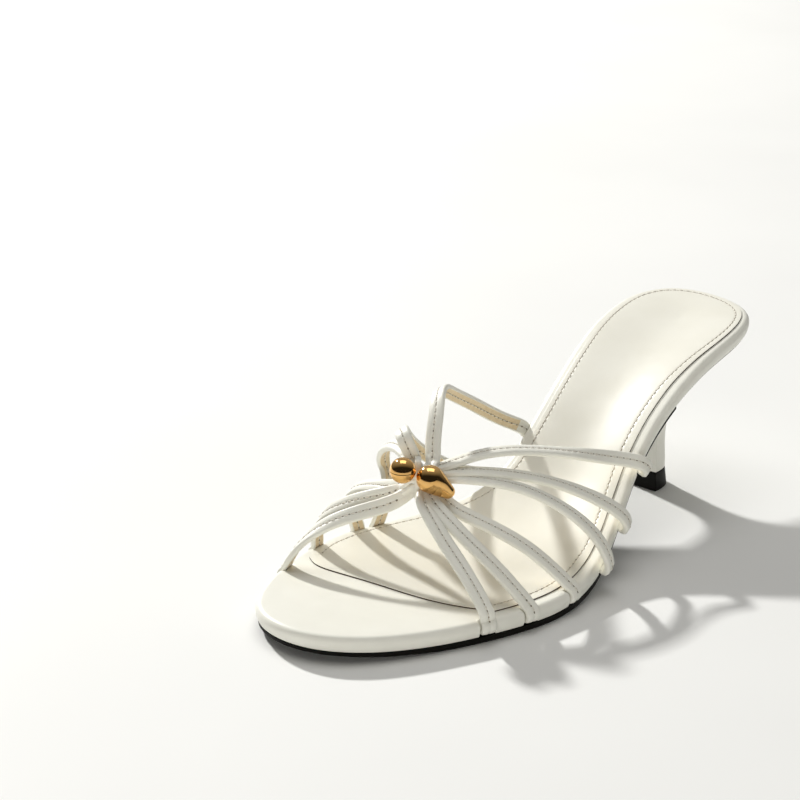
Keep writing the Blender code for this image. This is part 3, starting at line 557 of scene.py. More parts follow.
@dataclass(frozen=True)
class Leather:
    """Smooth dyed leather: a fine pored grain, faint clouding and a soft sheen."""

    name: str
    light: Triple = (0.885, 0.875, 0.795)
    dark: Triple = (0.855, 0.843, 0.76)
    roughness: tuple[float, float] = (0.38, 0.47)
    grain: float = 1900.0
    grain_depth: float = 0.00005
    coat: float = 0.12

    def build(self) -> bpy.types.Material:
        """Make the material: clouded colour, varied roughness, pores over slow waves."""
        graph = Graph(self.name)
        graph.colour(self.dark, self.light, 55.0, 4.0)
        graph.gloss(*self.roughness, 240.0)
        graph.relief([(graph.noise(120.0, 2.0), 0.25, 0.00012),
                      (graph.cells(self.grain), 0.30, self.grain_depth),
                      (graph.noise(5200.0, 2.0), 0.20, 0.00002)])
        graph.set(Coat_Weight=self.coat, Coat_Roughness=0.32, Specular_IOR_Level=0.45)
        return graph.material


@dataclass(frozen=True)
class Lining:
    """Undyed tan lining with a short nap."""

    name: str
    light: Triple = (0.80, 0.67, 0.46)
    dark: Triple = (0.72, 0.58, 0.37)

    def build(self) -> bpy.types.Material:
        """Make the material: fibrous colour and a matte, fuzzy surface."""
        graph = Graph(self.name)
        graph.colour(self.dark, self.light, 900.0, 5.0)
        graph.gloss(0.7, 0.85, 300.0)
        graph.relief([(graph.noise(3800.0, 4.0), 0.5, 0.00006)])
        graph.set(Sheen_Weight=0.15, Sheen_Roughness=0.5)
        return graph.material


@dataclass(frozen=True)
class PaintedShade:
    """Dark, matte brown that is painted shade: on the sock's edge wall it stands for the shade in the gap at
    the rim, and in the needle holes for the shade inside them.
    """

    name: str
    light: Triple = (0.105, 0.066, 0.040)
    dark: Triple = (0.045, 0.028, 0.018)

    def build(self) -> bpy.types.Material:
        """Make the material: two close browns, rough."""
        graph = Graph(self.name)
        graph.colour(self.dark, self.light, 1500.0)
        graph.relief([(graph.noise(3000.0), 0.4, 0.00005)])
        graph.set(Roughness=0.8)
        return graph.material


@dataclass(frozen=True)
class Rubber:
    """Black moulded rubber with a fine matte surface."""

    name: str
    light: Triple = (0.007, 0.0065, 0.005)
    dark: Triple = (0.004, 0.004, 0.003)

    def build(self) -> bpy.types.Material:
        """Make the material: near-black colour, spark-eroded texture, worn sheen in patches."""
        graph = Graph(self.name)
        graph.colour(self.dark, self.light, 180.0, 4.0)
        graph.gloss(0.42, 0.62, 90.0, 4.0)
        graph.relief([(graph.noise(2600.0, 3.0), 0.35, 0.00008)])
        graph.set(Specular_IOR_Level=0.12)
        return graph.material


@dataclass(frozen=True)
class PolishedGold:
    """Plated and polished metal with a trace of handling."""

    name: str
    light: Triple = (0.86, 0.52, 0.19)
    dark: Triple = (0.80, 0.465, 0.16)

    def build(self) -> bpy.types.Material:
        """Make the material: warm metal, faint haze and the slightest unevenness."""
        graph = Graph(self.name)
        graph.colour(self.dark, self.light, 300.0)
        graph.gloss(0.06, 0.13, 700.0, 5.0)
        graph.relief([(graph.noise(260.0, 1.0), 0.06, 0.0001)])
        graph.set(Metallic=1.0)
        return graph.material


@dataclass(frozen=True)
class Thread:
    """Twisted sewing thread."""

    name: str
    light: Triple = (0.80, 0.76, 0.68)
    dark: Triple = (0.62, 0.58, 0.50)

    def build(self) -> bpy.types.Material:
        """Make the material: fibre noise in colour and relief."""
        graph = Graph(self.name)
        graph.colour(self.dark, self.light, 4200.0, 2.0)
        graph.relief([(graph.noise(6000.0, 2.0), 0.5, 0.00004)])
        graph.set(Roughness=0.62, Sheen_Weight=0.2)
        return graph.material


@dataclass(frozen=True)
class Palette:
    """Every finish of the shoe, made once."""

    cream: bpy.types.Material
    sock: bpy.types.Material
    lining: bpy.types.Material
    cut_edge: bpy.types.Material
    rubber: bpy.types.Material
    gold: bpy.types.Material
    thread: bpy.types.Material
    needle_hole: bpy.types.Material
    sock_hole: bpy.types.Material

    @classmethod
    def make(cls) -> Palette:
        """Build all the finishes."""
        return cls(
            cream=Leather("cream_leather").build(),
            sock=Leather("cream_sock", (0.88, 0.862, 0.772), (0.85, 0.83, 0.735), (0.32, 0.40),
                         2300.0, 0.00003, 0.2).build(),
            lining=Lining("tan_lining").build(),
            # the sock's edge wall: dark brown painted as the shade of the gap at the rim
            cut_edge=PaintedShade("dark_cut_edge").build(),
            rubber=Rubber("black_rubber").build(),
            gold=PolishedGold("polished_gold").build(),
            thread=Thread("cream_thread").build(),
            # needle holes: dark lenses painted as the shade inside the holes, lighter on the sock
            needle_hole=PaintedShade("needle_hole", (0.32, 0.285, 0.22), (0.20, 0.17, 0.13)).build(),
            sock_hole=PaintedShade("sock_needle_hole", (0.42, 0.38, 0.30), (0.30, 0.265, 0.20)).build(),
        )


# ---------------------------------------------------------------------------------------- straps


@dataclass(frozen=True)
class Knot:
    """The gather over the instep, where the half straps meet."""

    centre: np.ndarray = field(default_factory=lambda: np.array([-7.0, 172.8, 40.0]))
    axis: np.ndarray = field(default_factory=lambda: np.array([0.751, -0.661, 0.0]))
    depth: np.ndarray = field(default_factory=lambda: np.array([0.661, 0.751, 0.0]))
    core: Triple = (2.6, 2.6, 6.1)

    def at(self, offset: Triple) -> np.ndarray:
        """A point given by its offset along the gather's axis, its depth and up."""
        return self.centre + self.axis * offset[0] + self.depth * offset[1] + UP * offset[2]


@dataclass(frozen=True)
class HalfStrap:
    """One strap from the gather to the sole.

    Attributes:
        name: the piece's name; it starts with the side of the foot.
        start: its first two points as offsets from the knot.
        edge: the footbed station where it goes over the rand.
        loop: how far it bows out round the rand, 0 where it lies in a notch.
        faces: where its outer face looks at the start, just outside the gather and halfway.
        route: its points on the way, across, along and up.
        passes: how often its line is smoothed between the gather and the sole.
    """

    name: str
    start: tuple[Triple, ...]
    edge: float
    loop: float
    faces: tuple[Triple, ...]
    route: tuple[Triple, ...]
    passes: int = 110

    @property
    def side(self) -> Side:
        """The side of the foot that it goes to."""
        return Side.OUTER if self.name.startswith("outer") else Side.INNER


LEVEL = (0.0, 0.0, 1.0)
HALF_STRAPS = (
    HalfStrap("outer_1", ((1.2, -2.0, -3.6), (2.4, 1.0, -3.9)), 190.0, 0.0,
              ((0.75, -0.66, 0.1), (0.7, 0.1, 0.5), (0.5, 0.4, 0.75)),
              ((-2.4, 174.9, 36.5), (-1.4, 178.4, 36.4), (6.2, 182.5, 33.8), (14.5, 184.7, 27.9),
               (25.0, 187.6, 22.2), (34.7, 190.5, 15.9), (38.7, 190.9, 11.1))),
    HalfStrap("outer_2", ((-0.5, 0.1, -2.4), (2.6, 0.1, -2.4)), 173.5, 0.0,
              (LEVEL, (0.5, 0.4, 0.8), (0.5, 0.3, 0.8)),
              ((0.6, 176.3, 36.7), (8.9, 178.3, 33.0), (20.0, 178.4, 26.8), (31.9, 177.5, 20.0))),
    HalfStrap("outer_3", ((-0.5, 0.0, -1.2), (2.6, 0.0, -1.2)), 152.5, 0.0,
              (LEVEL, (0.4, 0.3, 0.85), (0.45, 0.2, 0.85)),
              ((4.8, 171.3, 33.2), (14.0, 167.5, 29.4), (25.1, 163.5, 25.3), (33.8, 159.7, 20.3))),
    HalfStrap("outer_4", ((-0.5, -0.1, 0.0), (2.6, -0.1, 0.0)), 133.5, 3.0,
              (LEVEL, LEVEL, (0.2, 0.0, 1.0)),
              ((1.6, 165.0, 40.0), (11.3, 156.5, 39.0), (21.1, 148.6, 36.2), (32.1, 141.4, 30.1),
               (40.5, 137.0, 23.2), (44.7, 134.7, 16.6))),
    HalfStrap("outer_5", ((-0.5, -0.2, 1.2), (2.6, -0.2, 1.2)), 115.5, 3.2,
              (LEVEL, LEVEL, (0.2, 0.0, 1.0)),
              ((0.5, 163.8, 41.6), (11.6, 150.4, 40.2), (24.3, 134.8, 35.0), (34.4, 122.0, 27.0),
               (38.6, 116.1, 21.4))),
    HalfStrap("outer_6", ((-0.5, -0.3, 2.4), (2.6, -0.3, 2.4)), 96.0, 3.5,
              (LEVEL, LEVEL, (0.2, 0.0, 1.0)),
              ((-2.4, 164.1, 43.1), (5.0, 149.0, 45.7), (18.0, 123.5, 41.4), (27.3, 102.6, 35.4),
               (32.5, 99.0, 34.6))),
    HalfStrap("inner_1", ((0.5, 1.4, -4.3), (-2.6, 1.3, -4.5)), 205.0, 0.0,
              ((0.45, 0.88, 0.1), (0.4, 0.8, 0.2), (0.0, 0.7, 0.6)),
              ((-10.3, 178.7, 32.7), (-16.6, 185.9, 29.9), (-26.4, 194.9, 25.4), (-32.9, 200.9, 19.5),
               (-36.2, 205.0, 12.5))),
    HalfStrap("inner_2", ((0.5, 0.5, -2.2), (-2.6, 0.4, -2.3)), 185.0, 0.0,
              (LEVEL, (0.3, 0.8, 0.3), (-0.1, 0.7, 0.6)),
              ((-10.9, 176.5, 35.5), (-20.8, 181.3, 31.7), (-32.7, 185.6, 26.1), (-39.5, 187.6, 19.8))),
    HalfStrap("inner_3", ((0.5, 0.2, -0.5), (-2.6, 0.2, -0.5)), 164.5, 0.0,
              (LEVEL, (0.2, 0.7, 0.5), (-0.3, 0.5, 0.8)),
              ((-12.7, 175.0, 36.1), (-26.7, 171.7, 31.3), (-37.6, 170.1, 27.1), (-43.3, 168.1, 20.7))),
    HalfStrap("inner_4", ((0.5, -0.1, 1.6), (-2.6, -0.1, 1.6)), 157.0, 0.0,
              (LEVEL, (0.0, 0.5, 0.85), (-0.7, 0.1, 0.7)),
              ((-13.0, 171.1, 44.8), (-21.6, 167.0, 46.1), (-31.8, 161.6, 40.8), (-38.3, 155.2, 31.2),
               (-34.7, 157.5, 24.4)), 8),
    HalfStrap("inner_5", ((0.5, -0.2, 3.2), (-2.6, -0.2, 3.2)), 114.0, 1.4,
              (LEVEL, (0.2, 0.75, 0.6), (-0.8, -0.1, 0.6)),
              ((-11.3, 169.9, 43.5), (-12.9, 171.5, 49.7), (-16.6, 170.0, 53.1), (-31.8, 148.0, 38.8),
               (-32.1, 136.0, 29.4), (-27.6, 122.0, 21.2)), 8),
    HalfStrap("inner_6", ((-0.5, -0.3, 3.6), (2.6, -0.3, 3.6)), 95.5, 1.0,
              (LEVEL, (0.3, 0.75, 0.6), (-0.8, -0.1, 0.6)),
              ((-5.2, 167.7, 43.8), (-8.6, 163.2, 48.5), (-12.8, 156.9, 56.9), (-18.2, 148.8, 61.8),
               (-23.3, 137.0, 57.1), (-25.4, 120.8, 47.5), (-24.9, 103.8, 37.0)), 8),
)


@dataclass
class StrapPath:
    """A half strap's centre line with its width and face directions."""

    line: np.ndarray
    width: np.ndarray
    face: np.ndarray
    travelled: np.ndarray
    edge_at: float

    @property
    def forward(self) -> np.ndarray:
        """Directions along the strap."""
        return unit(np.gradient(self.line, axis=0))


@dataclass(frozen=True)
class StrapMaker:
    """Lays the half straps from the knot to the sole and gives them their folded section.

    Attributes:
        notch: how deep in the rand a strap without a loop lies.
        tail: how far inside the outline a strap ends, under the midsole.
        tuck: how far inside the outline it has come to lie flat there.
        step: distance between its sections.
        crown: how much lower its face's sides are than its middle.
        lining_step: how deep the lining is let into its back.
        bow: the way round the rand of a strap with a loop: how far inside the loop, how far above the
            underside and how far towards the heel.
        gather_creases: soft ridges across it near the knot: distance from its start and depth.
        rand_creases: the same at the rand: distance past the sole's edge and depth.
    """

    last: Last
    knot: Knot
    palette: Palette
    half_width: float = 2.75
    half_thickness: float = 1.1
    corner: float = 0.9
    notch: float = 1.4
    tail: float = 4.6
    tuck: float = 1.6
    step: float = 0.6
    bow: tuple[Triple, ...] = ((0.0, 2.2, 0.0), (0.4, 1.0, 0.3), (1.5, 0.2, 1.0))
    gather_length: float = 3.1
    twist_length: float = 7.0
    channel_depth: float = 0.15
    channel_half: float = 0.95
    crown: float = 0.1
    lining_half: float = 2.0
    lining_step: float = 0.1
    gather_creases: tuple[tuple[float, float], ...] = ((3.4, 0.16), (5.2, 0.20), (7.6, 0.15), (10.6, 0.10),
                                                       (15.5, 0.06))
    rand_creases: tuple[tuple[float, float], ...] = ((-3.2, 0.05), (-1.2, 0.09), (0.9, 0.09))

    def route(self, strap: HalfStrap) -> tuple[np.ndarray, np.ndarray, float]:
        """Centre line of a half strap.

        Args:
            strap: the strap.

        Returns:
            Its points, their distances from the start and the distance to the sole's edge. The line is
            a cubic spline through the start, the route and a hook round the rand: an arc of the notch's
            depth, or a bow that turns under the sole.
        """
        last = self.last
        plan, out, _ = last.edge_frame(strap.edge, strap.side)
        top, bottom = float(last.top(strap.edge)), float(last.bottom(strap.edge))
        slope = float(last.bottom(strap.edge - 1.0) - last.bottom(strap.edge + 1.0)) / 2.0
        reach, half = strap.loop, self.half_thickness
        low = bottom + (half + last.gap * (2.0 if reach else 1.0)) * math.hypot(1.0, slope)

        def beside(inset: float, up: float, swept: float = 0.0) -> np.ndarray:
            """A point beside the rand, by its inset from the outline, its height and its sweep."""
            return np.append(plan - out[:2] * inset - (0.0, swept), up + slope * swept)

        if reach:
            hook = [beside(inset - reach, low + up, swept) for inset, up, swept in self.bow]
            hook += [beside(self.tuck, low, 2.5), beside(self.tail, low, 3.8)]
        else:
            bend = last.shoulder - self.notch + half + last.gap
            drop = top - last.shoulder
            hook = [beside(last.shoulder - bend * math.cos(math.radians(turn)),
                           drop + bend * math.sin(math.radians(turn))) for turn in (60.0, 30.0, 0.0)]
            side = last.shoulder - bend
            hook += [beside(side, low + 1.4), beside(side + 0.5, low + 0.4), beside(self.tuck, low),
                     beside(self.tail, low)]
        points = [self.knot.at(offset) for offset in strap.start] + [np.array(row) for row in strap.route]
        split = len(points)
        points = np.array(points + hook)
        knots = np.concatenate([[0.0], np.cumsum(np.linalg.norm(np.diff(points, axis=0), axis=1) ** 0.5)])
        read = np.sort(np.concatenate([np.linspace(0.0, knots[-1], 60 * len(points)), [knots[split]]]))
        dense = spline(knots, points, read)
        length = lengths(dense)
        even = np.linspace(0.0, length[-1], int(round(length[-1] / self.step)) + 1)
        line, edge_at = read_rows(even, length, dense), float(length[np.searchsorted(read, knots[split])])
        relax(line, even, (3.0, edge_at - 2.5), 8.0, strap.passes)
        return line, even, edge_at

    def path(self, strap: HalfStrap) -> StrapPath:
        """Lay a strap: its face turns from the gather's side to the foot's and then round the rand."""
        line, travelled, edge_at = self.route(strap)
        forward = unit(np.gradient(line, axis=0))
        _, out, run = self.last.edge_frame(strap.edge, strap.side)
        share = np.clip(travelled / edge_at, 0.0, 1.0)[:, None]
        early = ease((travelled[:, None] - self.gather_length) / self.twist_length)
        # the second turn ends at 0.55 of the way to the sole's edge, where the last one starts
        middle, final = ease((share - 0.15) / 0.4), ease((share - 0.55) / 0.45)
        first, second, third = (unit(np.array(face)) for face in strap.faces)
        face = first * (1.0 - early) + second * early
        face = face * (1.0 - middle) + third * middle
        face = face * (1.0 - final) + (out * 0.8 + UP * 0.6) * final
        width = unit(np.cross(face, forward))
        if strap.loop:
            # degrees that the face has turned down from level, from above the rand to under the sole
            turn = np.interp(travelled - edge_at, (-7.0, 0.0, 4.5), (-40.0, 0.0, 90.0))[:, None]
            sole_up = unit(np.cross(out, run) * strap.side.value)
            around = out * np.cos(np.radians(turn)) - sole_up * np.sin(np.radians(turn))
            run = unit(np.cross(around, forward))
        else:
            run = run * np.sign(np.dot(run, width[np.searchsorted(travelled, edge_at) - 1]))
        width = unit(width * (1.0 - final) + run * final)
        relax(width, travelled, (2.0, edge_at - 3.0), 6.0, 90)
        width = unit(width - forward * np.sum(width * forward, axis=1, keepdims=True))
        return StrapPath(line, width, np.cross(forward, width), travelled, edge_at)

    def section(self) -> tuple[np.ndarray, np.ndarray]:
        """Section of a strap: folded edges, a sewn channel on its face and a lining let into its back.

        Returns:
            Closed rows of across and outwards, and for each side of the section whether it is lining.
            The face dips by a cosine over the channel and the back by a small step at the lining.
        """
        w, t, r = self.half_width, self.half_thickness, self.corner
        face_w = np.concatenate([np.linspace(w - r, 1.1, 4), np.linspace(0.9, -0.9, 11),
                                 np.linspace(-1.1, r - w, 4)])
        dip = self.channel_depth * np.cos(np.clip(face_w / self.channel_half, -1, 1) * math.pi / 2.0) ** 2
        front = np.column_stack([face_w, t - dip - self.crown * (face_w / (w - r)) ** 4])
        turn = np.radians(np.linspace(90.0, 270.0, 13)[1:-1])
        rise = t - self.crown * np.clip(np.sin(turn), 0.0, 1.0)
        left = np.column_stack([r - w + r * np.cos(turn), rise * rounded(np.sin(turn), 0.85)])
        inlay = self.lining_half
        back_w = np.array([r - w, -inlay - 0.12, -inlay, -inlay * 0.6, 0.0, inlay * 0.6, inlay,
                           inlay + 0.12, w - r])
        step = np.where(np.abs(back_w) <= inlay, self.lining_step, 0.0)
        order = np.argsort(back_w)
        back = np.column_stack([back_w, -t + step])[order]
        right = left[::-1] * (-1.0, 1.0)
        rows = np.vstack([front, left, back, right])
        first = len(front) + len(left)
        lined = np.zeros(len(rows), bool)
        lined[first:first + len(back) - 1] = np.abs(back[:-1, 0] + back[1:, 0]) / 2.0 <= inlay
        return rows, lined

    def squeeze(self, travelled: np.ndarray) -> tuple[np.ndarray, np.ndarray]:
        """How much narrower and thinner a strap is where it is drawn into the gather."""
        near = ease((travelled - 1.5) / 11.0)
        return 0.82 + 0.18 * near, 0.74 + 0.26 * near

    def build(self, strap: HalfStrap, phase: float) -> tuple[bpy.types.Object, StrapPath]:
        """Make one half strap.

        Args:
            strap: the strap.
            phase: shifts its soft creases, so that no two straps are alike.

        Returns:
            The piece and its path. Each ring is the section, scaled by the squeeze, moved out by
            creases across the strap: soft ridges near the gather and at the turn over the rand.
        """
        path = self.path(strap)
        rows, lined = self.section()
        narrow, thin = self.squeeze(path.travelled)
        wave = np.zeros(len(path.travelled))
        for place, depth in self.gather_creases:
            wave -= depth * bump(path.travelled, place + phase, 1.1)
        for place, depth in self.rand_creases:
            wave -= depth * bump(path.travelled, path.edge_at + place, 0.9)
        across = rows[None, :, 0] * narrow[:, None]
        outwards = rows[None, :, 1] * thin[:, None]
        outwards = outwards + wave[:, None] * np.where(rows[None, :, 1] > 0.3, 1.0, 0.0)
        grid = (path.line[:, None, :] + path.width[:, None, :] * across[..., None]
                + path.face[:, None, :] * outwards[..., None])
        quads, caps = capped(*grid.shape[:2])
        ends = np.stack([grid[0].mean(axis=0), grid[-1].mean(axis=0)])
        free = path.travelled[:-1] < path.edge_at - (4.0 if strap.loop else -2.0)
        slots = [(free[:, None] & lined[None, :]).ravel(), np.zeros(len(caps))]
        points = self.last.to_world(np.vstack([grid.reshape(-1, 3), ends]))
        piece = to_mesh("strap_" + strap.name, points, [quads, caps],
                        [self.palette.cream, self.palette.lining], slots, sharp=55.0)
        return piece, path


@dataclass(frozen=True)
class Stitching:
    """Rows of stitches: threads that dip into their needle holes.

    Attributes:
        last: the shoe's last.
        thread: the thread's finish.
        hole_shade: the needle holes' finish, a dark colour painted as the shade inside the holes.
        pitch: distance between needle holes.
        reach: half a stitch's length as a share of the pitch.
        radius: half the thread's thickness.
        rise: height of a stitch's middle over the surface.
        dip: how far its ends go down from there.
        lens: half sizes of a needle hole.
    """

    last: Last
    thread: bpy.types.Material
    hole_shade: bpy.types.Material
    pitch: float = 2.4
    reach: float = 0.33
    radius: float = 0.24
    rise: float = 0.1
    dip: float = 0.26
    lens: tuple[float, float] = (0.46, 0.32)

    def stitch(self) -> tuple[np.ndarray, np.ndarray, np.ndarray]:
        """One stitch: points, quads and the triangles of its two ends.

        Returns:
            A six-sided tube along x, highest in the middle, whose ends dip by a cube and close.
        """
        along = np.array([-1.0, -0.86, -0.5, 0.0, 0.5, 0.86, 1.0]) * self.reach * self.pitch
        lift = self.rise - self.dip * (np.abs(along) / (self.reach * self.pitch)) ** 3
        size = self.radius * np.array([0.72, 1.0, 1.0, 1.0, 0.72])
        sides = 6
        turn = np.linspace(0.0, 2.0 * math.pi, sides, endpoint=False)
        rings = np.stack([np.stack([np.full(sides, x), r * np.cos(turn), z + r * np.sin(turn)], axis=1)
                          for x, z, r in zip(along[1:-1], lift[1:-1], size)])
        points = np.vstack([rings.reshape(-1, 3), [(along[0], 0.0, lift[0]), (along[-1], 0.0, lift[-1])]])
        return points, *capped(len(rings), sides)

    def hole(self) -> tuple[np.ndarray, np.ndarray]:
        """One needle hole: a flat eight-sided lens of points and its triangles, whose dark finish is painted
        shade.
        """
        turn = np.linspace(0.0, 2.0 * math.pi, 8, endpoint=False)
        rim = np.column_stack([self.lens[0] * np.cos(turn), self.lens[1] * np.sin(turn), np.zeros(8)])
        points = np.vstack([rim, [(0.0, 0.0, 0.05), (0.0, 0.0, -0.2)]])
        after = np.roll(np.arange(8), -1)
        return points, np.vstack([np.column_stack([np.arange(8), after, np.full(8, 8)]),
                                  np.column_stack([after, np.arange(8), np.full(8, 9)])])

    def rows(self, name: str, seams: list[tuple[np.ndarray, np.ndarray]]) -> bpy.types.Object:
        """Sew seams and join them in one piece.

        Args:
            name: the piece's name.
            seams: for each seam its points on the surface and the surface's outward directions.

        Returns:
            The piece: a dark lens painted as a needle hole's shade at each whole pitch and a thread between
                each two of them.
        """
        centres, frames, hole_centres, hole_frames = [], [], [], []
        for line, normal in seams:
            length = lengths(line)
            count = int(length[-1] / self.pitch)
            for at, spots, bases in ((np.arange(count) + 0.5, centres, frames),
                                     (np.arange(count + 1.0), hole_centres, hole_frames)):
                at = at * self.pitch + (length[-1] - count * self.pitch) / 2.0
                ahead, behind = (read_rows(at + shift, length, line) for shift in (0.4, -0.4))
                tangent, outwards = unit(ahead - behind), unit(read_rows(at, length, normal))
                across = unit(np.cross(outwards, tangent))
                spots.append(read_rows(at, length, line))
                bases.append(np.stack([tangent, across, np.cross(tangent, across)], axis=1))
        points, quads, ends = self.stitch()
        lens, sides = self.hole()
        threads, holes = (np.vstack(spots)[:, None, :] + np.einsum("pk,nkc->npc", shape, np.vstack(bases))
                          for shape, spots, bases in ((points, centres, frames),
                                                      (lens, hole_centres, hole_frames)))
        shift = (np.arange(len(threads)) * len(points))[:, None, None]
        hole_shift = (threads.size // 3 + np.arange(len(holes)) * len(lens))[:, None, None]
        faces = [(quads + shift).reshape(-1, 4), (ends + shift).reshape(-1, 3),
                 (sides + hole_shift).reshape(-1, 3)]
        slots = [np.full(len(part), slot) for part, slot in zip(faces, (0, 0, 1))]
        points = self.last.to_world(np.vstack([threads.reshape(-1, 3), holes.reshape(-1, 3)]))
        return to_mesh(name, points, faces, [self.thread, self.hole_shade], slots, sharp=80.0)


@dataclass(frozen=True)
class Upper:
    """Twelve half straps, the gathered core under them, its wrap and the seams.

    Attributes:
        wrap_hole: half sizes of the hole that the gather passes through.
        wrap_square: power of its round, under one for squarer.
        folds: number of the core's folds.
        fold_depth: their depth as a share.
    """

    last: Last
    knot: Knot
    palette: Palette
    wrap_width: float = 2.2
    wrap_thickness: float = 0.8
    wrap_hole: tuple[float, float] = (2.9, 6.6)
    wrap_square: float = 0.55
    folds: float = 9.0
    fold_depth: float = 0.06

    def core(self) -> bpy.types.Object:
        """Ellipsoid of drawn-in leather in the gather, with folds along it."""
        tilt = np.linspace(0.0, math.pi, 30)[1:-1, None]
        turn = np.linspace(0.0, 2.0 * math.pi, 48, endpoint=False)[None, :]
        fold = 1.0 - self.fold_depth * np.cos(self.folds * turn)
        along = np.cos(tilt) * np.ones_like(turn)
        grid = np.stack([along * self.knot.core[0], np.sin(tilt) * np.cos(turn) * fold * self.knot.core[1],
                         np.sin(tilt) * np.sin(turn) * fold * self.knot.core[2]], axis=-1)
        return self.placed("gather_core", grid, self.palette.cream)

    def placed(self, name: str, grid: np.ndarray, finish: bpy.types.Material,
               poles: bool = True) -> bpy.types.Object:
        """A piece from rings of offsets in the knot's own directions, closed by two poles or in a loop."""
        basis = np.stack([self.knot.axis, self.knot.depth, UP])
        rings, count = grid.shape[:2]
        points = grid.reshape(-1, 3)
        if poles:
            ends = np.stack([grid[0].mean(axis=0), grid[-1].mean(axis=0)])
            ends += (ends - ends[::-1]) * 0.002
            faces = [*capped(rings, count)]
            points = np.vstack([points, ends])
        else:
            ids = np.arange(rings * count).reshape(rings, count)
            faces = [lattice(np.vstack([ids, ids[:1]]))]
        points = self.last.to_world(self.knot.centre + points @ basis)
        return to_mesh(name, points, faces, [finish], sharp=50.0)

    def wrap(self) -> bpy.types.Object:
        """The leather band round the gather: a rounded oblong ring with rolled edges."""
        turn = np.linspace(0.0, 2.0 * math.pi, 96, endpoint=False)[None, :]
        depth, height = (rounded(part, self.wrap_square) for part in (np.cos(turn), np.sin(turn)))
        roll = np.linspace(0.0, 2.0 * math.pi, 20, endpoint=False)[:, None]
        offset = rounded(np.cos(roll), 0.6) * self.wrap_width / 2.0
        out = (1.0 + rounded(np.sin(roll), 0.8)) * self.wrap_thickness / 2.0
        pull = 0.08 * np.cos(3.0 * turn + 0.7) * (offset / (self.wrap_width / 2.0)) ** 2
        grid = np.stack([offset + 0.0 * turn, (self.wrap_hole[0] + out + pull) * depth,
                         (self.wrap_hole[1] + out + pull) * height], axis=-1)
        return self.placed("knot_wrap_band", grid, self.palette.cream, poles=False)

    def build(self) -> list[StrapPath]:
        """Make the straps, the core, the wrap and the seams; return the straps' paths."""
        maker = StrapMaker(self.last, self.knot, self.palette)
        seam_from, seam_past = 8.0, 2.0
        paths, seams, linings = [], [], []
        for number, strap in enumerate(HALF_STRAPS):
            piece, path = maker.build(strap, 0.5 * math.sin(2.3 * number))
            finish_piece(piece, "cream_leather", "upper")
            paths.append(path)
            for side, level, rows in ((1.0, maker.half_thickness - maker.channel_depth, seams),
                                      (-1.0, maker.half_thickness - maker.lining_step, linings)):
                keep = (path.travelled > seam_from) & (path.travelled < path.edge_at + seam_past)
                rows.append((path.line[keep] + path.face[keep] * side * level, path.face[keep] * side))
        # the strap seams' needle holes get dark lenses painted as the shade inside them
        sewing = Stitching(self.last, self.palette.thread, self.palette.needle_hole)
        finish_piece(sewing.rows("strap_stitches", seams), "cream_leather")
        finish_piece(sewing.rows("lining_stitches", linings), "cream_leather")
        finish_piece(self.core(), "cream_leather", "upper")
        finish_piece(self.wrap(), "cream_leather", "knot_wrap")
        return paths


# ------------------------------------------------------------------------------------------ sole


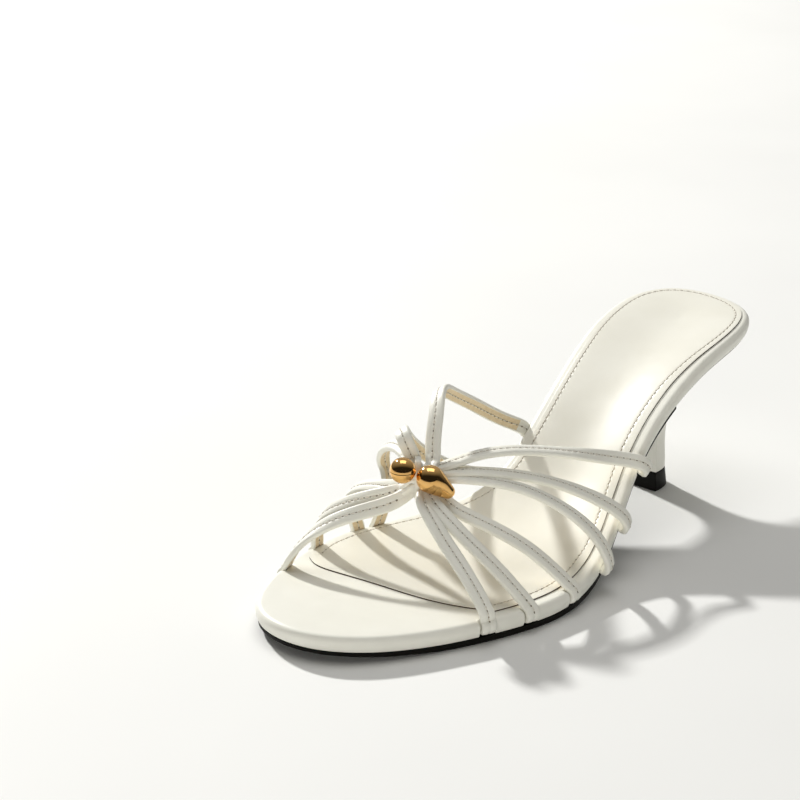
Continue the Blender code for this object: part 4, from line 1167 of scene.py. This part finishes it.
@dataclass(frozen=True)
class Footbed:
    """Wrapped midsole with its rand, strap notches and recess, and the sock that lies in it.

    Attributes:
        side_points: points on each side of the plan.
        sock_gap: gap between the sock's edge and the recess wall.
        sock_proud: height of the sock's top over the footbed's edge.
        sock_recess: depth of the recess.
        seat_length: how much of a strap before the sole's edge is seated.
        seat_reach: how far from a strap's line points are looked at.
        seat_depth: the deepest that a seat is pressed.
        seat_above: height over a strap's face from which points stay.
    """

    last: Last
    palette: Palette
    paths: list[StrapPath]
    side_points: int = 760
    sock_insets: np.ndarray = field(default_factory=lambda: np.array([
        # along, outer, inner: how far the sock's edge lies inside the outline
        (0.0, 2.8, 2.8), (15.0, 3.0, 3.0), (38.0, 3.3, 3.4), (70.0, 4.9, 3.8), (180.0, 5.0, 3.8),
        (197.0, 5.0, 4.8), (240.2, 5.0, 5.0),
    ]))
    sock_gap: float = 0.06
    sock_proud: float = 0.5
    sock_recess: float = 1.4
    seat_length: float = 13.0
    seat_reach: float = 5.0
    seat_depth: float = 2.0
    seat_above: float = 1.4
    sock_front: np.ndarray = field(default_factory=lambda: np.array([
        # across, along: the sock's front edge from the outer to the inner side
        (33.4, 185.0), (24.2, 189.1), (13.3, 192.1), (-8.7, 194.8), (-24.0, 197.0), (-33.0, 196.8),
        (-37.6, 194.4),
    ]))
    seam_insets: np.ndarray = field(default_factory=lambda: np.array([
        # along, outer, inner: how far the sock's seam lies inside its edge
        (0.0, 2.2, 2.2), (15.0, 2.3, 2.2), (38.0, 2.8, 2.2), (75.0, 3.7, 2.2), (180.0, 3.7, 2.3),
        (197.0, 3.7, 3.4), (240.2, 3.7, 3.7),
    ]))

    def outline(self) -> tuple[np.ndarray, np.ndarray]:
        """Closed plan with its outward directions, dense where straps cross the edge."""
        plans, outs = [], []
        for side in Side:
            plan, out = self.last.side(side)
            length = lengths(plan)
            places = np.array([np.interp(strap.edge, plan[:, 1], length) for strap in HALF_STRAPS
                               if strap.side is side])
            at = pack_evenly(length[-1], self.side_points, places, reach=4.0, crowding=4.5)
            plans.append(read_rows(at, length, plan))
            outs.append(unit(read_rows(at, length, out)))
        return (np.vstack([plans[0], plans[1][-2:0:-1]]), np.vstack([outs[0], outs[1][-2:0:-1]]))

    def by_side(self, table: np.ndarray, along: np.ndarray) -> np.ndarray:
        """Read a table of along, outer and inner for the points of a plan, outer side first."""
        outer, inner = monotone(table[:, (0, 1)], along), monotone(table[:, (0, 2)], along)
        return np.where(np.arange(len(along)) < self.side_points, outer, inner)

    def sock_plan(self, plan: np.ndarray, out: np.ndarray) -> tuple[np.ndarray, np.ndarray]:
        """Plan of the sock: the inset outline, cut off by the sock's own front edge.

        Args:
            plan: the footbed's outline.
            out: its outward directions.

        Returns:
            The plan, point by point beside the outline's, and which of its points are on the front.
        """
        inset = plan - out * self.by_side(self.sock_insets, plan[:, 1])[:, None]
        knots = lengths(self.sock_front)
        curve = spline(knots, self.sock_front, np.linspace(0.0, knots[-1], 400))
        order = np.argsort(curve[:, 0])
        limit = np.interp(inset[:, 0], curve[order, 0], curve[order, 1])
        inside = inset[:, 1] <= limit
        first, last = int(np.argmin(inside)), len(inside) - 1 - int(np.argmin(inside[::-1]))
        steps = lengths(curve)
        even = np.linspace(0.0, steps[-1], last - first + 1)
        made = inset.copy()
        made[first:last + 1] = read_rows(even, steps, curve)
        on_front = np.zeros(len(made), bool)
        on_front[first:last + 1] = True
        return soften(made, 6), on_front

    def seat(self, points: np.ndarray, clearance: float = 0.12) -> np.ndarray:
        """Press the points that straps would cut into under the straps' backs.

        Args:
            points: points on the last, in millimetres.
            clearance: how far under a strap's back they end.

        Returns:
            The moved points. A point beside a strap is read in the nearest section's own directions;
            where it stands above the strap's back it moves against the face, fully under the strap
            and less over a soft lip at its sides.
        """
        points = points.copy()
        half_width, half = StrapMaker.half_width, StrapMaker.half_thickness
        toe_margin, heel_margin, lip, end_lip = 0.42, -0.1, 0.25, 0.5
        for path in self.paths:
            keep = path.travelled > path.edge_at - self.seat_length
            line, width, face, forward = (rows[keep] for rows in (path.line, path.width, path.face,
                                                                  path.forward))
            low, high = line.min(axis=0) - self.seat_reach, line.max(axis=0) + self.seat_reach
            near = np.flatnonzero((points > low).all(axis=1) & (points < high).all(axis=1))
            away = points[near][:, None, :] - line[None]
            nearest = np.argmin(np.einsum("pnc,pnc->pn", away, away), axis=1)
            offset = away[np.arange(len(near)), nearest]
            beside = np.einsum("pc,pc->p", offset, width[nearest])
            toeward = beside * np.sign(width[nearest, 1]) > 0.0
            beside = np.abs(beside) - half_width - np.where(toeward, toe_margin, heel_margin)
            above = np.einsum("pc,pc->p", offset, face[nearest])
            beyond = np.einsum("pc,pc->p", offset, forward[nearest])
            weight = 1.0 - ease(beside / lip)
            weight *= 1.0 - ease((np.abs(beyond) - end_lip) / end_lip)
            push = np.clip(above + half + clearance, 0.0, self.seat_depth) * weight
            push[above > half + self.seat_above] = 0.0
            points[near] -= face[nearest] * push[:, None]
        return points

    def build(self) -> None:
        """Make the midsole, the sock and the sock's seam."""
        plan, out = self.outline()
        wall, on_front = self.sock_plan(plan, out)
        self.build_midsole(Ring.around(plan, out, heel_end=24.0, toe_end=30.0), wall)
        self.build_sock(wall, on_front)

    def build_midsole(self, ring: Ring, wall: np.ndarray) -> None:
        """Midsole: underside, convex side, shoulder, rim, recess wall and recess floor as one stack."""
        last = self.last

        def below(plan: np.ndarray, drop: float | np.ndarray) -> np.ndarray:
            """Ring of points over a plan, so far below the footbed's top edge."""
            return np.column_stack([plan, last.top(plan[:, 1]) - drop])

        edge = ring.plan - ring.out * last.side_tuck
        rings = [below(ring.towards(edge, share), last.rand_height)
                 for share in (1.0, 0.85, 0.7, 0.55, 0.42, 0.32, 0.24, 0.17, 0.11, 0.06, 0.025)]
        side_height = last.rand_height - last.shoulder
        for up in (0.0, 0.25, 0.6, 1.0, 1.4, 1.8, 2.2, 2.6):
            inset = last.side_tuck * (1.0 - up / side_height) ** 2.2 + (0.12 if up == 0.0 else 0.0)
            plan = ring.plan - ring.out * inset
            rings.append(np.column_stack([plan, last.bottom(plan[:, 1]) + up]))
        for turn in np.radians(np.linspace(0.0, 90.0, 11)):
            plan = ring.plan - ring.out * last.shoulder * (1.0 - math.cos(turn))
            rings.append(below(plan, last.shoulder * (1.0 - math.sin(turn))))
        rim = rings[-1][:, :2]
        rings += [below(rim + (wall - rim) * share, 0.0)
                  for share in (0.12, 0.25, 0.4, 0.55, 0.7, 0.82, 0.92, 0.97)]
        rings += [below(wall, drop) for drop in (0.03, 0.12, 0.6, self.sock_recess)]
        for share in (0.15, 0.35, 0.6, 0.8, 1.0):
            plan = ring.towards(wall, share)
            depth = last.hollow(plan[:, 1]) * (1.0 - (1.0 - share) ** 2)
            rings.append(below(plan, self.sock_recess + depth + 0.05))
        points, quads = closed_stack(rings)
        points = self.seat(points)
        piece = to_mesh("midsole_shell", last.to_world(points), [quads], [self.palette.cream])
        finish_piece(piece, "cream_leather", "midsole")

    def build_sock(self, wall: np.ndarray, on_front: np.ndarray) -> None:
        """Sock whose edge wall is painted dark brown as the shade of the gap at the rim, with a sewn channel
        beside its edge and its row of stitches.
        """
        last = self.last
        run = unit(np.roll(wall, -1, axis=0) - np.roll(wall, 1, axis=0))
        out = np.column_stack([run[:, 1], -run[:, 0]])
        ring = Ring.around(wall - out * self.sock_gap, out, heel_end=24.0, toe_end=26.0)
        sewn = soften(1.0 - on_front.astype(float), 24)
        seam = self.by_side(self.seam_insets, wall[:, 1])
        low, proud = self.sock_recess - last.gap, self.sock_proud

        def at(distance: float, lift: float, share: float = 0.0, seams: float = 0.0) -> np.ndarray:
            """Ring of the sock's top: sunk by the footbed's hollow and by the sewn channel.

            Args:
                distance: millimetres inside the sock's edge.
                lift: height over the footbed's top edge.
                share: share of the rest of the way to the spine.
                seams: adds this share of the seam's own inset, so that a ring follows the seam.

            Returns:
                Points, lowered by the hollow's depth times the smoothed way to the spine.
            """
            plan, done = ring.inward(distance + seam * seams)
            if share:
                plan, done = ring.towards(plan, share), done + (1.0 - done) * share
            sink = last.hollow(plan[:, 1]) * ease(done)
            channel = 0.10 * sewn * float(bump(np.array(distance), 0.0, 0.8)) if seams == 1.0 else 0.0
            return np.column_stack([plan, last.top(plan[:, 1]) - sink - channel + lift])

        under = [at(0.5, -low, share) for share in (1.0, 0.8, 0.6, 0.4, 0.2)]
        under += [at(0.0, -low), at(0.0, -0.1)]
        over = [at(0.0, proud - 0.12), at(0.05, proud - 0.03), at(0.18, proud), at(0.5, proud)]
        over += [at(0.0, proud, 0.0, share) for share in (0.3, 0.5, 0.62)]
        over += [at(distance, proud, 0.0, 1.0) for distance in
                 (-0.8, -0.6, -0.4, -0.2, 0.0, 0.2, 0.4, 0.6, 0.8, 1.2, 2.0)]
        over += [at(2.4, proud, share, 1.0) for share in
                 (0.0, 0.04, 0.09, 0.15, 0.22, 0.3, 0.4, 0.5, 0.6, 0.7, 0.8, 0.9, 1.0)]
        points, quads = closed_stack(under + over)
        count = len(wall)
        row = np.repeat(np.arange(len(quads) // count), count)
        # the two rows of the sock's edge wall, from under the rim to its top, get dark brown painted as the
        # shade of the gap at the rim
        dark = (row >= len(under) - 2) & (row < len(under))
        piece = to_mesh("sock", last.to_world(points), [quads], [self.palette.sock, self.palette.cut_edge],
                        [dark.astype(int)])
        finish_piece(piece, "cream_insole", "insole")

        order = np.roll(np.arange(count), -int(np.flatnonzero(on_front)[0]))
        order = order[~on_front[order]][6:-6]
        line = at(0.0, proud + 0.02, 0.0, 1.0)[order]
        inwards = np.column_stack([-out[order], np.zeros(len(line))])
        normal = unit(np.cross(np.gradient(line, axis=0), inwards))
        normal *= np.sign(normal[:, 2:3])
        # the sock's needle holes get a lighter painted shade
        sewing = Stitching(last, self.palette.thread, self.palette.sock_hole, pitch=2.7, lens=(0.52, 0.40))
        finish_piece(sewing.rows("sock_stitches", [(line, normal)]), "cream_insole")


@dataclass(frozen=True)
class Ground:
    """Black outsole under the forefoot and arch.

    Attributes:
        breast: station of its straight end at the heel.
        toe_from: station from which it thins towards the toe tip.
        thins_from: station from which it thins towards the arch.
        thin_at: station where it has the waist's thickness.
        chamfer: the tread's rounded edge: how far inside the side and how far above the tread.
    """

    last: Last
    palette: Palette
    breast: float = 68.3
    front_thickness: float = 2.2
    waist_thickness: float = 1.2
    toe_thickness: float = 1.3
    toe_from: float = 194.0
    thins_from: float = 150.0
    thin_at: float = 105.0
    side_points: int = 300
    chamfer: tuple[tuple[float, float], ...] = ((0.6, 0.0), (0.35, 0.04), (0.14, 0.15), (0.03, 0.35),
                                                (0.0, 0.6))

    def thickness(self, along: np.ndarray) -> np.ndarray:
        """Thickness of the outsole, which eases to less under the arch and towards the toe tip."""
        along = np.asarray(along)
        share = ease((along - self.thin_at) / (self.thins_from - self.thin_at))
        toe = ease((along - self.toe_from) / (self.last.length - self.toe_from))
        thickness = self.waist_thickness + (self.front_thickness - self.waist_thickness) * share
        return thickness - (self.front_thickness - self.toe_thickness) * toe

    def plan(self, inset: float) -> np.ndarray:
        """Closed plan, cut straight at the breast, with an even number of paired points."""
        sides = []
        for side in Side:
            plan, out = self.last.side(side)
            plan = plan - out * inset
            plan = plan[plan[:, 1] > self.breast]
            first = np.array([[plan[0, 0], self.breast]])
            line = np.vstack([first, plan])
            length = lengths(line)
            sides.append(read_rows(np.linspace(0.0, length[-1], self.side_points), length, line))
        toe = (sides[0][-1] + sides[1][-1]) / 2.0
        sides[0][-1] = sides[1][-1] = toe
        share = np.linspace(0.0, 1.0, 25)[1:-1, None]
        middle = (sides[0][0] + sides[1][0]) / 2.0
        breast_out = middle + (sides[0][0] - middle) * share
        breast_in = middle + (sides[1][0] - middle) * share
        return np.vstack([[middle], breast_out, sides[0], sides[1][-2::-1], breast_in[::-1]])

    def build(self) -> None:
        """Make the outsole: tread, chamfered edge, side and hidden top."""
        last = self.last
        ring = Ring.around(self.plan(last.side_tuck), np.zeros(2), heel_end=10.0, toe_end=30.0)

        def top(along: np.ndarray) -> np.ndarray:
            """Height of the upper face."""
            return last.bottom(along) - last.gap

        def level(distance: float, share: float, up: float | None) -> np.ndarray:
            """Ring at a distance inside the edge: up above the tread, or on the upper face."""
            plan, _ = ring.inward(distance)
            plan = ring.towards(plan, share) if share else plan
            base = top(plan[:, 1]) - self.thickness(plan[:, 1])
            return np.column_stack([plan, top(plan[:, 1]) if up is None else base + up])

        shares, inset = (1.0, 0.75, 0.5, 0.3, 0.15, 0.05), self.chamfer[0][0]
        rings = [level(inset, share, 0.0) for share in shares]
        rings += [level(distance, 0.0, up) for distance, up in self.chamfer]
        rings += [level(0.0, 0.0, None)] + [level(inset, share, None) for share in shares[::-1]]
        points, quads = closed_stack(rings)
        piece = to_mesh("outsole_rubber", last.to_world(points), [quads], [self.palette.rubber])
        finish_piece(piece, "black_rubber", "outsole")


@dataclass(frozen=True)
class Heel:
    """Covered kitten heel and the top lift under it.

    Attributes:
        breast: station of the seat's straight front.
        front: station of the column's straight front.
        depth: from there to the column's back.
        flare_start: height from which the column flares into the seat.
        flare_power: how late it does so: its share is the height's share to this power.
        seat_inset: how far inside the midsole's outline the seat lies.
        lift_rise: height of the lift's rounded lower edge.
        lift_deeper: how much deeper than the column the lift is at the ground.
        lift_forward: how much further forward it is there.
    """

    last: Last
    palette: Palette
    breast: float = 68.0
    lift_height: float = 7.5
    lift_half_width: float = 7.3
    half_width: float = 6.6
    neck_half_width: float = 6.3
    front: float = 49.2
    depth: float = 11.2
    neck_depth: float = 10.4
    flare_start: float = 20.0
    flare_power: float = 2.3
    seat_inset: float = 1.0
    lift_rise: float = 0.5
    lift_deeper: float = 1.6
    lift_forward: float = 0.4
    breast_points: int = 40
    back_points: int = 150

    def column(self, half_width: float, depth: float, front: float) -> np.ndarray:
        """D-shaped plan: a straight breast, then an arc whose depth is a power of its sine."""
        across = np.linspace(0.0, 1.0, self.breast_points + 1)[:-1]
        turn = np.linspace(0.0, math.pi, 2 * self.back_points + 1)
        back = np.column_stack([half_width * rounded(np.cos(turn), 0.8),
                                front - depth * np.abs(np.sin(turn)) ** 0.8])
        right = np.column_stack([across * half_width, np.full(len(across), front)])
        left = right[:0:-1] * (-1.0, 1.0)
        return np.vstack([right, back, left])

    def seat(self) -> np.ndarray:
        """Plan of the seat, point by point beside the column's: breast, outer side, back, inner side."""
        sides = []
        for side in Side:
            plan, out = self.last.side(side)
            plan = plan - out * self.seat_inset
            keep = plan[plan[:, 1] < self.breast - 0.2]
            rising = plan[:400]
            corner = [np.interp(self.breast, rising[:, 1], rising[:, 0]), self.breast]
            line = np.vstack([keep, [corner]])[::-1]
            length = lengths(line)
            sides.append(read_rows(np.linspace(0.0, length[-1], self.back_points + 1), length, line))
        middle = (sides[0][0] + sides[1][0]) / 2.0
        across = np.linspace(0.0, 1.0, self.breast_points + 1)[:-1, None]
        right = middle + (sides[0][0] - middle) * across
        left = (middle + (sides[1][0] - middle) * across)[:0:-1]
        return np.vstack([right, sides[0], sides[1][-2::-1], left])

    def stack(self, name: str, rings: list[np.ndarray], finish: bpy.types.Material,
              dark: tuple[int, int] = (0, 0)) -> bpy.types.Object:
        """A piece from rings that start and end at a point, with some rows of faces painted dark."""
        points = np.vstack(rings + [rings[0].mean(axis=0)[None], rings[-1].mean(axis=0)[None]])
        quads, caps = capped(len(rings), len(rings[0]))
        row = np.repeat(np.arange(len(rings) - 1), len(rings[0]))
        slots = [((row >= dark[0]) & (row < dark[1])).astype(int), np.zeros(len(caps))]
        return to_mesh(name, self.last.to_world(points), [quads, caps], [finish, self.palette.rubber], slots)

    def build(self) -> None:
        """Make the heel, a blend of column and seat by the height's share to a power, and its lift."""
        last = self.last
        seat = soften(self.seat(), 3)
        wide = soften(self.column(1.0, 1.0, 0.0), 3)
        roof = last.bottom(seat[:, 1]) - last.gap
        floor = self.lift_height + last.gap
        welt_line = (0.985, 0.987, 1.0)
        rings = []
        for level in np.concatenate([np.linspace(0.0, 0.3, 14), np.linspace(0.32, 0.96, 40), welt_line]):
            up = floor + (roof - floor) * level
            neck = ease((up - self.lift_height) / (self.flare_start - self.lift_height))
            size = np.column_stack([self.half_width + (self.neck_half_width - self.half_width) * neck,
                                    self.depth + (self.neck_depth - self.depth) * neck])
            column = wide * size + (0.0, self.front)
            share = np.clip((up - self.flare_start) / (roof - self.flare_start), 0.0, 1.0)
            share = (share ** self.flare_power)[:, None]
            rings.append(np.column_stack([column * (1.0 - share) + seat * share, up]))
        low, high = rings[0], rings[-1]
        centre_low, centre_high = low.mean(axis=0), high.mean(axis=0)
        inner = [low * share + centre_low * (1.0 - share) for share in (0.02, 0.5, 0.97)]
        tops = []
        for share in (0.97, 0.7, 0.4, 0.02):
            ring = high * share + centre_high * (1.0 - share)
            ring[:, 2] = last.bottom(ring[:, 1]) - last.gap
            tops.append(ring)
        top = len(inner) + len(rings)
        cover = self.stack("heel_cover", inner + rings + tops, self.palette.cream, (top - 2, top + 3))
        finish_piece(cover, "cream_leather", "heel")
        finish_piece(self.build_lift(), "black_rubber", "heel_top_lift")

    def build_lift(self) -> bpy.types.Object:
        """Top lift: it widens a little towards the ground and its lower edge is rounded."""
        shapes = ((0.6, 0.0), (0.3, 0.05), (0.1, 0.2), (0.0, 0.5), (0.0, 1.5), (0.0, 3.0), (0.0, 5.0),
                  (0.0, 7.0), (0.0, 7.35), (0.12, self.lift_height))
        rings = []
        for inset, up in shapes:
            rise = max(up - self.lift_rise, 0.0) / (self.lift_height - self.lift_rise)
            half_width = self.lift_half_width + (self.half_width - self.lift_half_width) * rise - inset
            depth = self.depth + self.lift_deeper * (1.0 - rise) - 2.0 * inset
            front = self.front + self.lift_forward * (1.0 - rise) - inset
            plan = soften(self.column(half_width, depth, front), 3)
            rings.append(np.column_stack([plan, np.full(len(plan), up)]))
        inner = [rings[0] * share + rings[0].mean(axis=0) * (1.0 - share) for share in (0.02, 0.5)]
        outer = [rings[-1] * share + rings[-1].mean(axis=0) * (1.0 - share) for share in (0.5, 0.02)]
        return self.stack("top_lift", inner + rings + outer, self.palette.rubber)


# ----------------------------------------------------------------------------------------- beads


@dataclass(frozen=True)
class Bead:
    """A polished bead turned round the line from its round end to its tip.

    Attributes:
        name: the piece's name.
        node: the CAD node that it stands for.
        centre: middle of the round end, as an offset from the knot.
        radius: the round end's radius.
        tip: middle of the tip's arc, as an offset from the knot; a ball's is its centre.
        tip_radius: the tip's radius.
        belly: how much wider it is halfway, as a share.
    """

    name: str
    node: str
    centre: Triple
    radius: float
    tip: Triple
    tip_radius: float
    belly: float = 0.0

    def build(self, last: Last, knot: Knot, palette: Palette) -> None:
        """Make the bead: an arc round each end and their tangent, swollen by a squared sine, turned.

        Args:
            last: the shoe's last.
            knot: the knot that its offsets are counted from.
            palette: the finishes.
        """
        start, end = knot.at(self.centre), knot.at(self.tip)
        reach = float(np.linalg.norm(end - start))
        axis = unit(end - start) if reach > 0.0 else UP
        lean = math.asin((self.radius - self.tip_radius) / reach) if reach > 0.0 else 0.0
        split = math.pi / 2.0 - lean
        back = np.linspace(0.0, math.pi - split, 40)[1:]
        front = np.linspace(split, 0.0, 34)[:-1]
        along = np.concatenate([-self.radius * np.cos(back), reach + self.tip_radius * np.cos(front)])
        out = np.concatenate([self.radius * np.sin(back), self.tip_radius * np.sin(front)])
        if reach > 0.0:
            share = np.linspace(0.0, 1.0, 16)[1:-1]
            join = len(back)
            along = np.insert(along, join, along[join - 1] + (along[join] - along[join - 1]) * share)
            out = np.insert(out, join, out[join - 1] + (out[join] - out[join - 1]) * share)
            place = (along + self.radius) / (reach + self.radius + self.tip_radius)
            out = out * (1.0 + self.belly * np.sin(math.pi * np.clip(place, 0.0, 1.0)) ** 2)
        side = unit(np.cross(axis, (0.31, 0.17, 0.93)))
        beside = np.cross(side, axis)
        turn = np.linspace(0.0, 2.0 * math.pi, 96, endpoint=False)
        around = np.cos(turn)[:, None] * side + np.sin(turn)[:, None] * beside
        grid = start + axis * along[:, None, None] + around[None] * out[:, None, None]
        ends = np.stack([start - axis * self.radius, start + axis * (reach + self.tip_radius)])
        points = last.to_world(np.vstack([grid.reshape(-1, 3), ends]))
        piece = to_mesh(self.name, points, [*capped(*grid.shape[:2])], [palette.gold], sharp=180.0)
        finish_piece(piece, "polished_gold", self.node)


BEADS = (
    Bead("round_bead", "bead_round", (-5.2, 6.8, 5.6), 4.45, (-5.2, 6.8, 5.6), 4.45),
    Bead("drop_bead", "bead_drop", (3.7, 7.4, 3.1), 4.4, (10.0, 6.8, -2.0), 2.45, 0.14),
)


# ---------------------------------------------------------------------------------------- studio


@dataclass(frozen=True)
class Lamp:
    """A rectangular light turned towards the shoe.

    Attributes:
        name: the light's name.
        direction: where it stands, as a direction from the shoe.
        distance: how far from the shoe, in metres.
        size: its sides in metres.
        power: its power in watts.
        colour: its colour.
        mirrored: whether glossy surfaces mirror it.
    """

    name: str
    direction: Triple
    distance: float
    size: tuple[float, float]
    power: float
    colour: Triple
    mirrored: bool = True


LAMPS = (
    Lamp("key", (-0.814, 0.203, 0.545), 3.0, (0.17, 0.17), 97.0, (1.0, 0.993, 0.97)),
    Lamp("box_above", (-0.133, 0.152, 0.979), 0.9, (0.6, 0.5), 1.75, (1.0, 0.99, 0.97)),
    Lamp("front_fill", (0.6, -0.78, 0.16), 1.6, (1.4, 0.5), 9.5, (1.0, 0.985, 0.94), mirrored=False),
)


@dataclass(frozen=True)
class Studio:
    """Pale floor, hard key from the inner side, box light above, low fill in front and a quiet room.

    Attributes:
        azimuth: the camera's direction in degrees, from -Y towards +X.
        elevation: degrees above the floor.
        roll: degrees that the camera leans.
        distance: metres from the camera to its aim.
        aim: the point it looks at, in metres.
        lens: focal length in millimetres on a 36 mm sensor.
        soft_from: where the room is brightest.
        room_strength: how bright the room is there.
        floor_half: half the floor's side in metres.
    """

    azimuth: float = 41.36
    elevation: float = 20.55
    roll: float = 0.36
    distance: float = 0.81074
    aim: Triple = (-0.09125, 0.03245, 0.02367)
    lens: float = 91.98
    soft_from: Triple = (-0.42, 0.50, 0.76)
    room_strength: float = 0.43
    floor_half: float = 20.0

    def floor(self) -> None:
        """A wide pale floor with a faintly uneven matte finish."""
        graph = Graph("pale_floor")
        graph.colour((0.84, 0.84, 0.825), (0.88, 0.88, 0.865), 3.0)
        graph.relief([(graph.noise(600.0, 3.0), 0.1, 0.0001)])
        graph.set(Roughness=0.6, Specular_IOR_Level=0.3)
        side = np.linspace(-self.floor_half, self.floor_half, 3)
        across, along = np.meshgrid(side, side, indexing="ij")
        points = np.column_stack([across.ravel(), along.ravel(), np.zeros(9)])
        ids = np.arange(9).reshape(3, 3)
        piece = to_mesh("floor", points, [lattice(ids, wrap=False)], [graph.material])
        if piece.data.polygons[0].normal.z < 0.0:
            piece.data.flip_normals()

    def light(self, lamp: Lamp) -> None:
        """Set up one of the lamps."""
        data = bpy.data.lights.new(lamp.name, "AREA")
        data.shape = "RECTANGLE"
        data.size, data.size_y = lamp.size
        data.energy = lamp.power
        data.color = lamp.colour
        light = bpy.data.objects.new(lamp.name, data)
        place = unit(np.array(lamp.direction)) * lamp.distance
        light.location = place
        light.rotation_euler = self.facing(place, np.zeros(3), 0.0)
        light.visible_glossy = lamp.mirrored
        bpy.context.scene.collection.objects.link(light)

    @staticmethod
    def facing(place: np.ndarray, target: np.ndarray, roll: float) -> Euler:
        """Turn of an object at a place so that its -Z looks at a target, leaning by a roll in degrees."""
        back = unit(place - target)
        right = unit(np.cross(UP, back))
        up = np.cross(back, right)
        cosine, sine = math.cos(math.radians(roll)), math.sin(math.radians(roll))
        turned = np.column_stack([right * cosine + up * sine, up * cosine - right * sine, back])
        return Matrix(turned.tolist()).to_euler()

    def camera(self) -> None:
        """The camera, on an orbit round its aim."""
        azimuth, elevation = math.radians(self.azimuth), math.radians(self.elevation)
        back = np.array([math.sin(azimuth) * math.cos(elevation), -math.cos(azimuth) * math.cos(elevation),
                         math.sin(elevation)])
        aim = np.array(self.aim)
        place = aim + back * self.distance
        data = bpy.data.cameras.new("camera")
        data.lens = self.lens
        data.sensor_width = 36.0
        data.clip_start, data.clip_end = 0.01, 50.0
        view = bpy.data.objects.new("camera", data)
        view.location = place
        view.rotation_euler = self.facing(place, aim, self.roll)
        bpy.context.scene.collection.objects.link(view)
        bpy.context.scene.camera = view

    def room(self) -> None:
        """World light: a wide soft brightness above and behind the shoe, quiet in front of it."""
        world = bpy.data.worlds.new("room")
        world.use_nodes = True
        tree = world.node_tree
        background = tree.nodes["Background"]
        direction = tree.nodes.new("ShaderNodeTexCoord")
        towards = tree.nodes.new("ShaderNodeVectorMath")
        towards.operation = "DOT_PRODUCT"
        towards.inputs[1].default_value = tuple(unit(np.array(self.soft_from)))
        ramp = tree.nodes.new("ShaderNodeValToRGB")
        tree.links.new(direction.outputs["Generated"], towards.inputs[0])
        tree.links.new(towards.outputs["Value"], ramp.inputs["Fac"])
        tree.links.new(ramp.outputs["Color"], background.inputs["Color"])
        set_ramp(ramp, 0.15, (0.05, 0.05, 0.049), 0.9, (1.0, 0.995, 0.965))
        background.inputs["Strength"].default_value = self.room_strength
        bpy.context.scene.world = world

    def build(self) -> None:
        """Set up the floor, the lights, the room and the camera."""
        self.camera()
        self.floor()
        for lamp in LAMPS:
            self.light(lamp)
        self.room()
        bpy.context.scene.view_settings.view_transform = "Standard"


def main() -> None:
    """Load the frame, build the shoe's pieces in order and set up the studio."""
    logging.basicConfig(level=logging.INFO, format="%(name)s: %(message)s")
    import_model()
    Studio().build()
    last, knot, palette = Last(), Knot(), Palette.make()
    paths = Upper(last, knot, palette).build()
    Footbed(last, palette, paths).build()
    Ground(last, palette).build()
    Heel(last, palette).build()
    for bead in BEADS:
        bead.build(last, knot, palette)


if __name__ == "__main__":
    main()
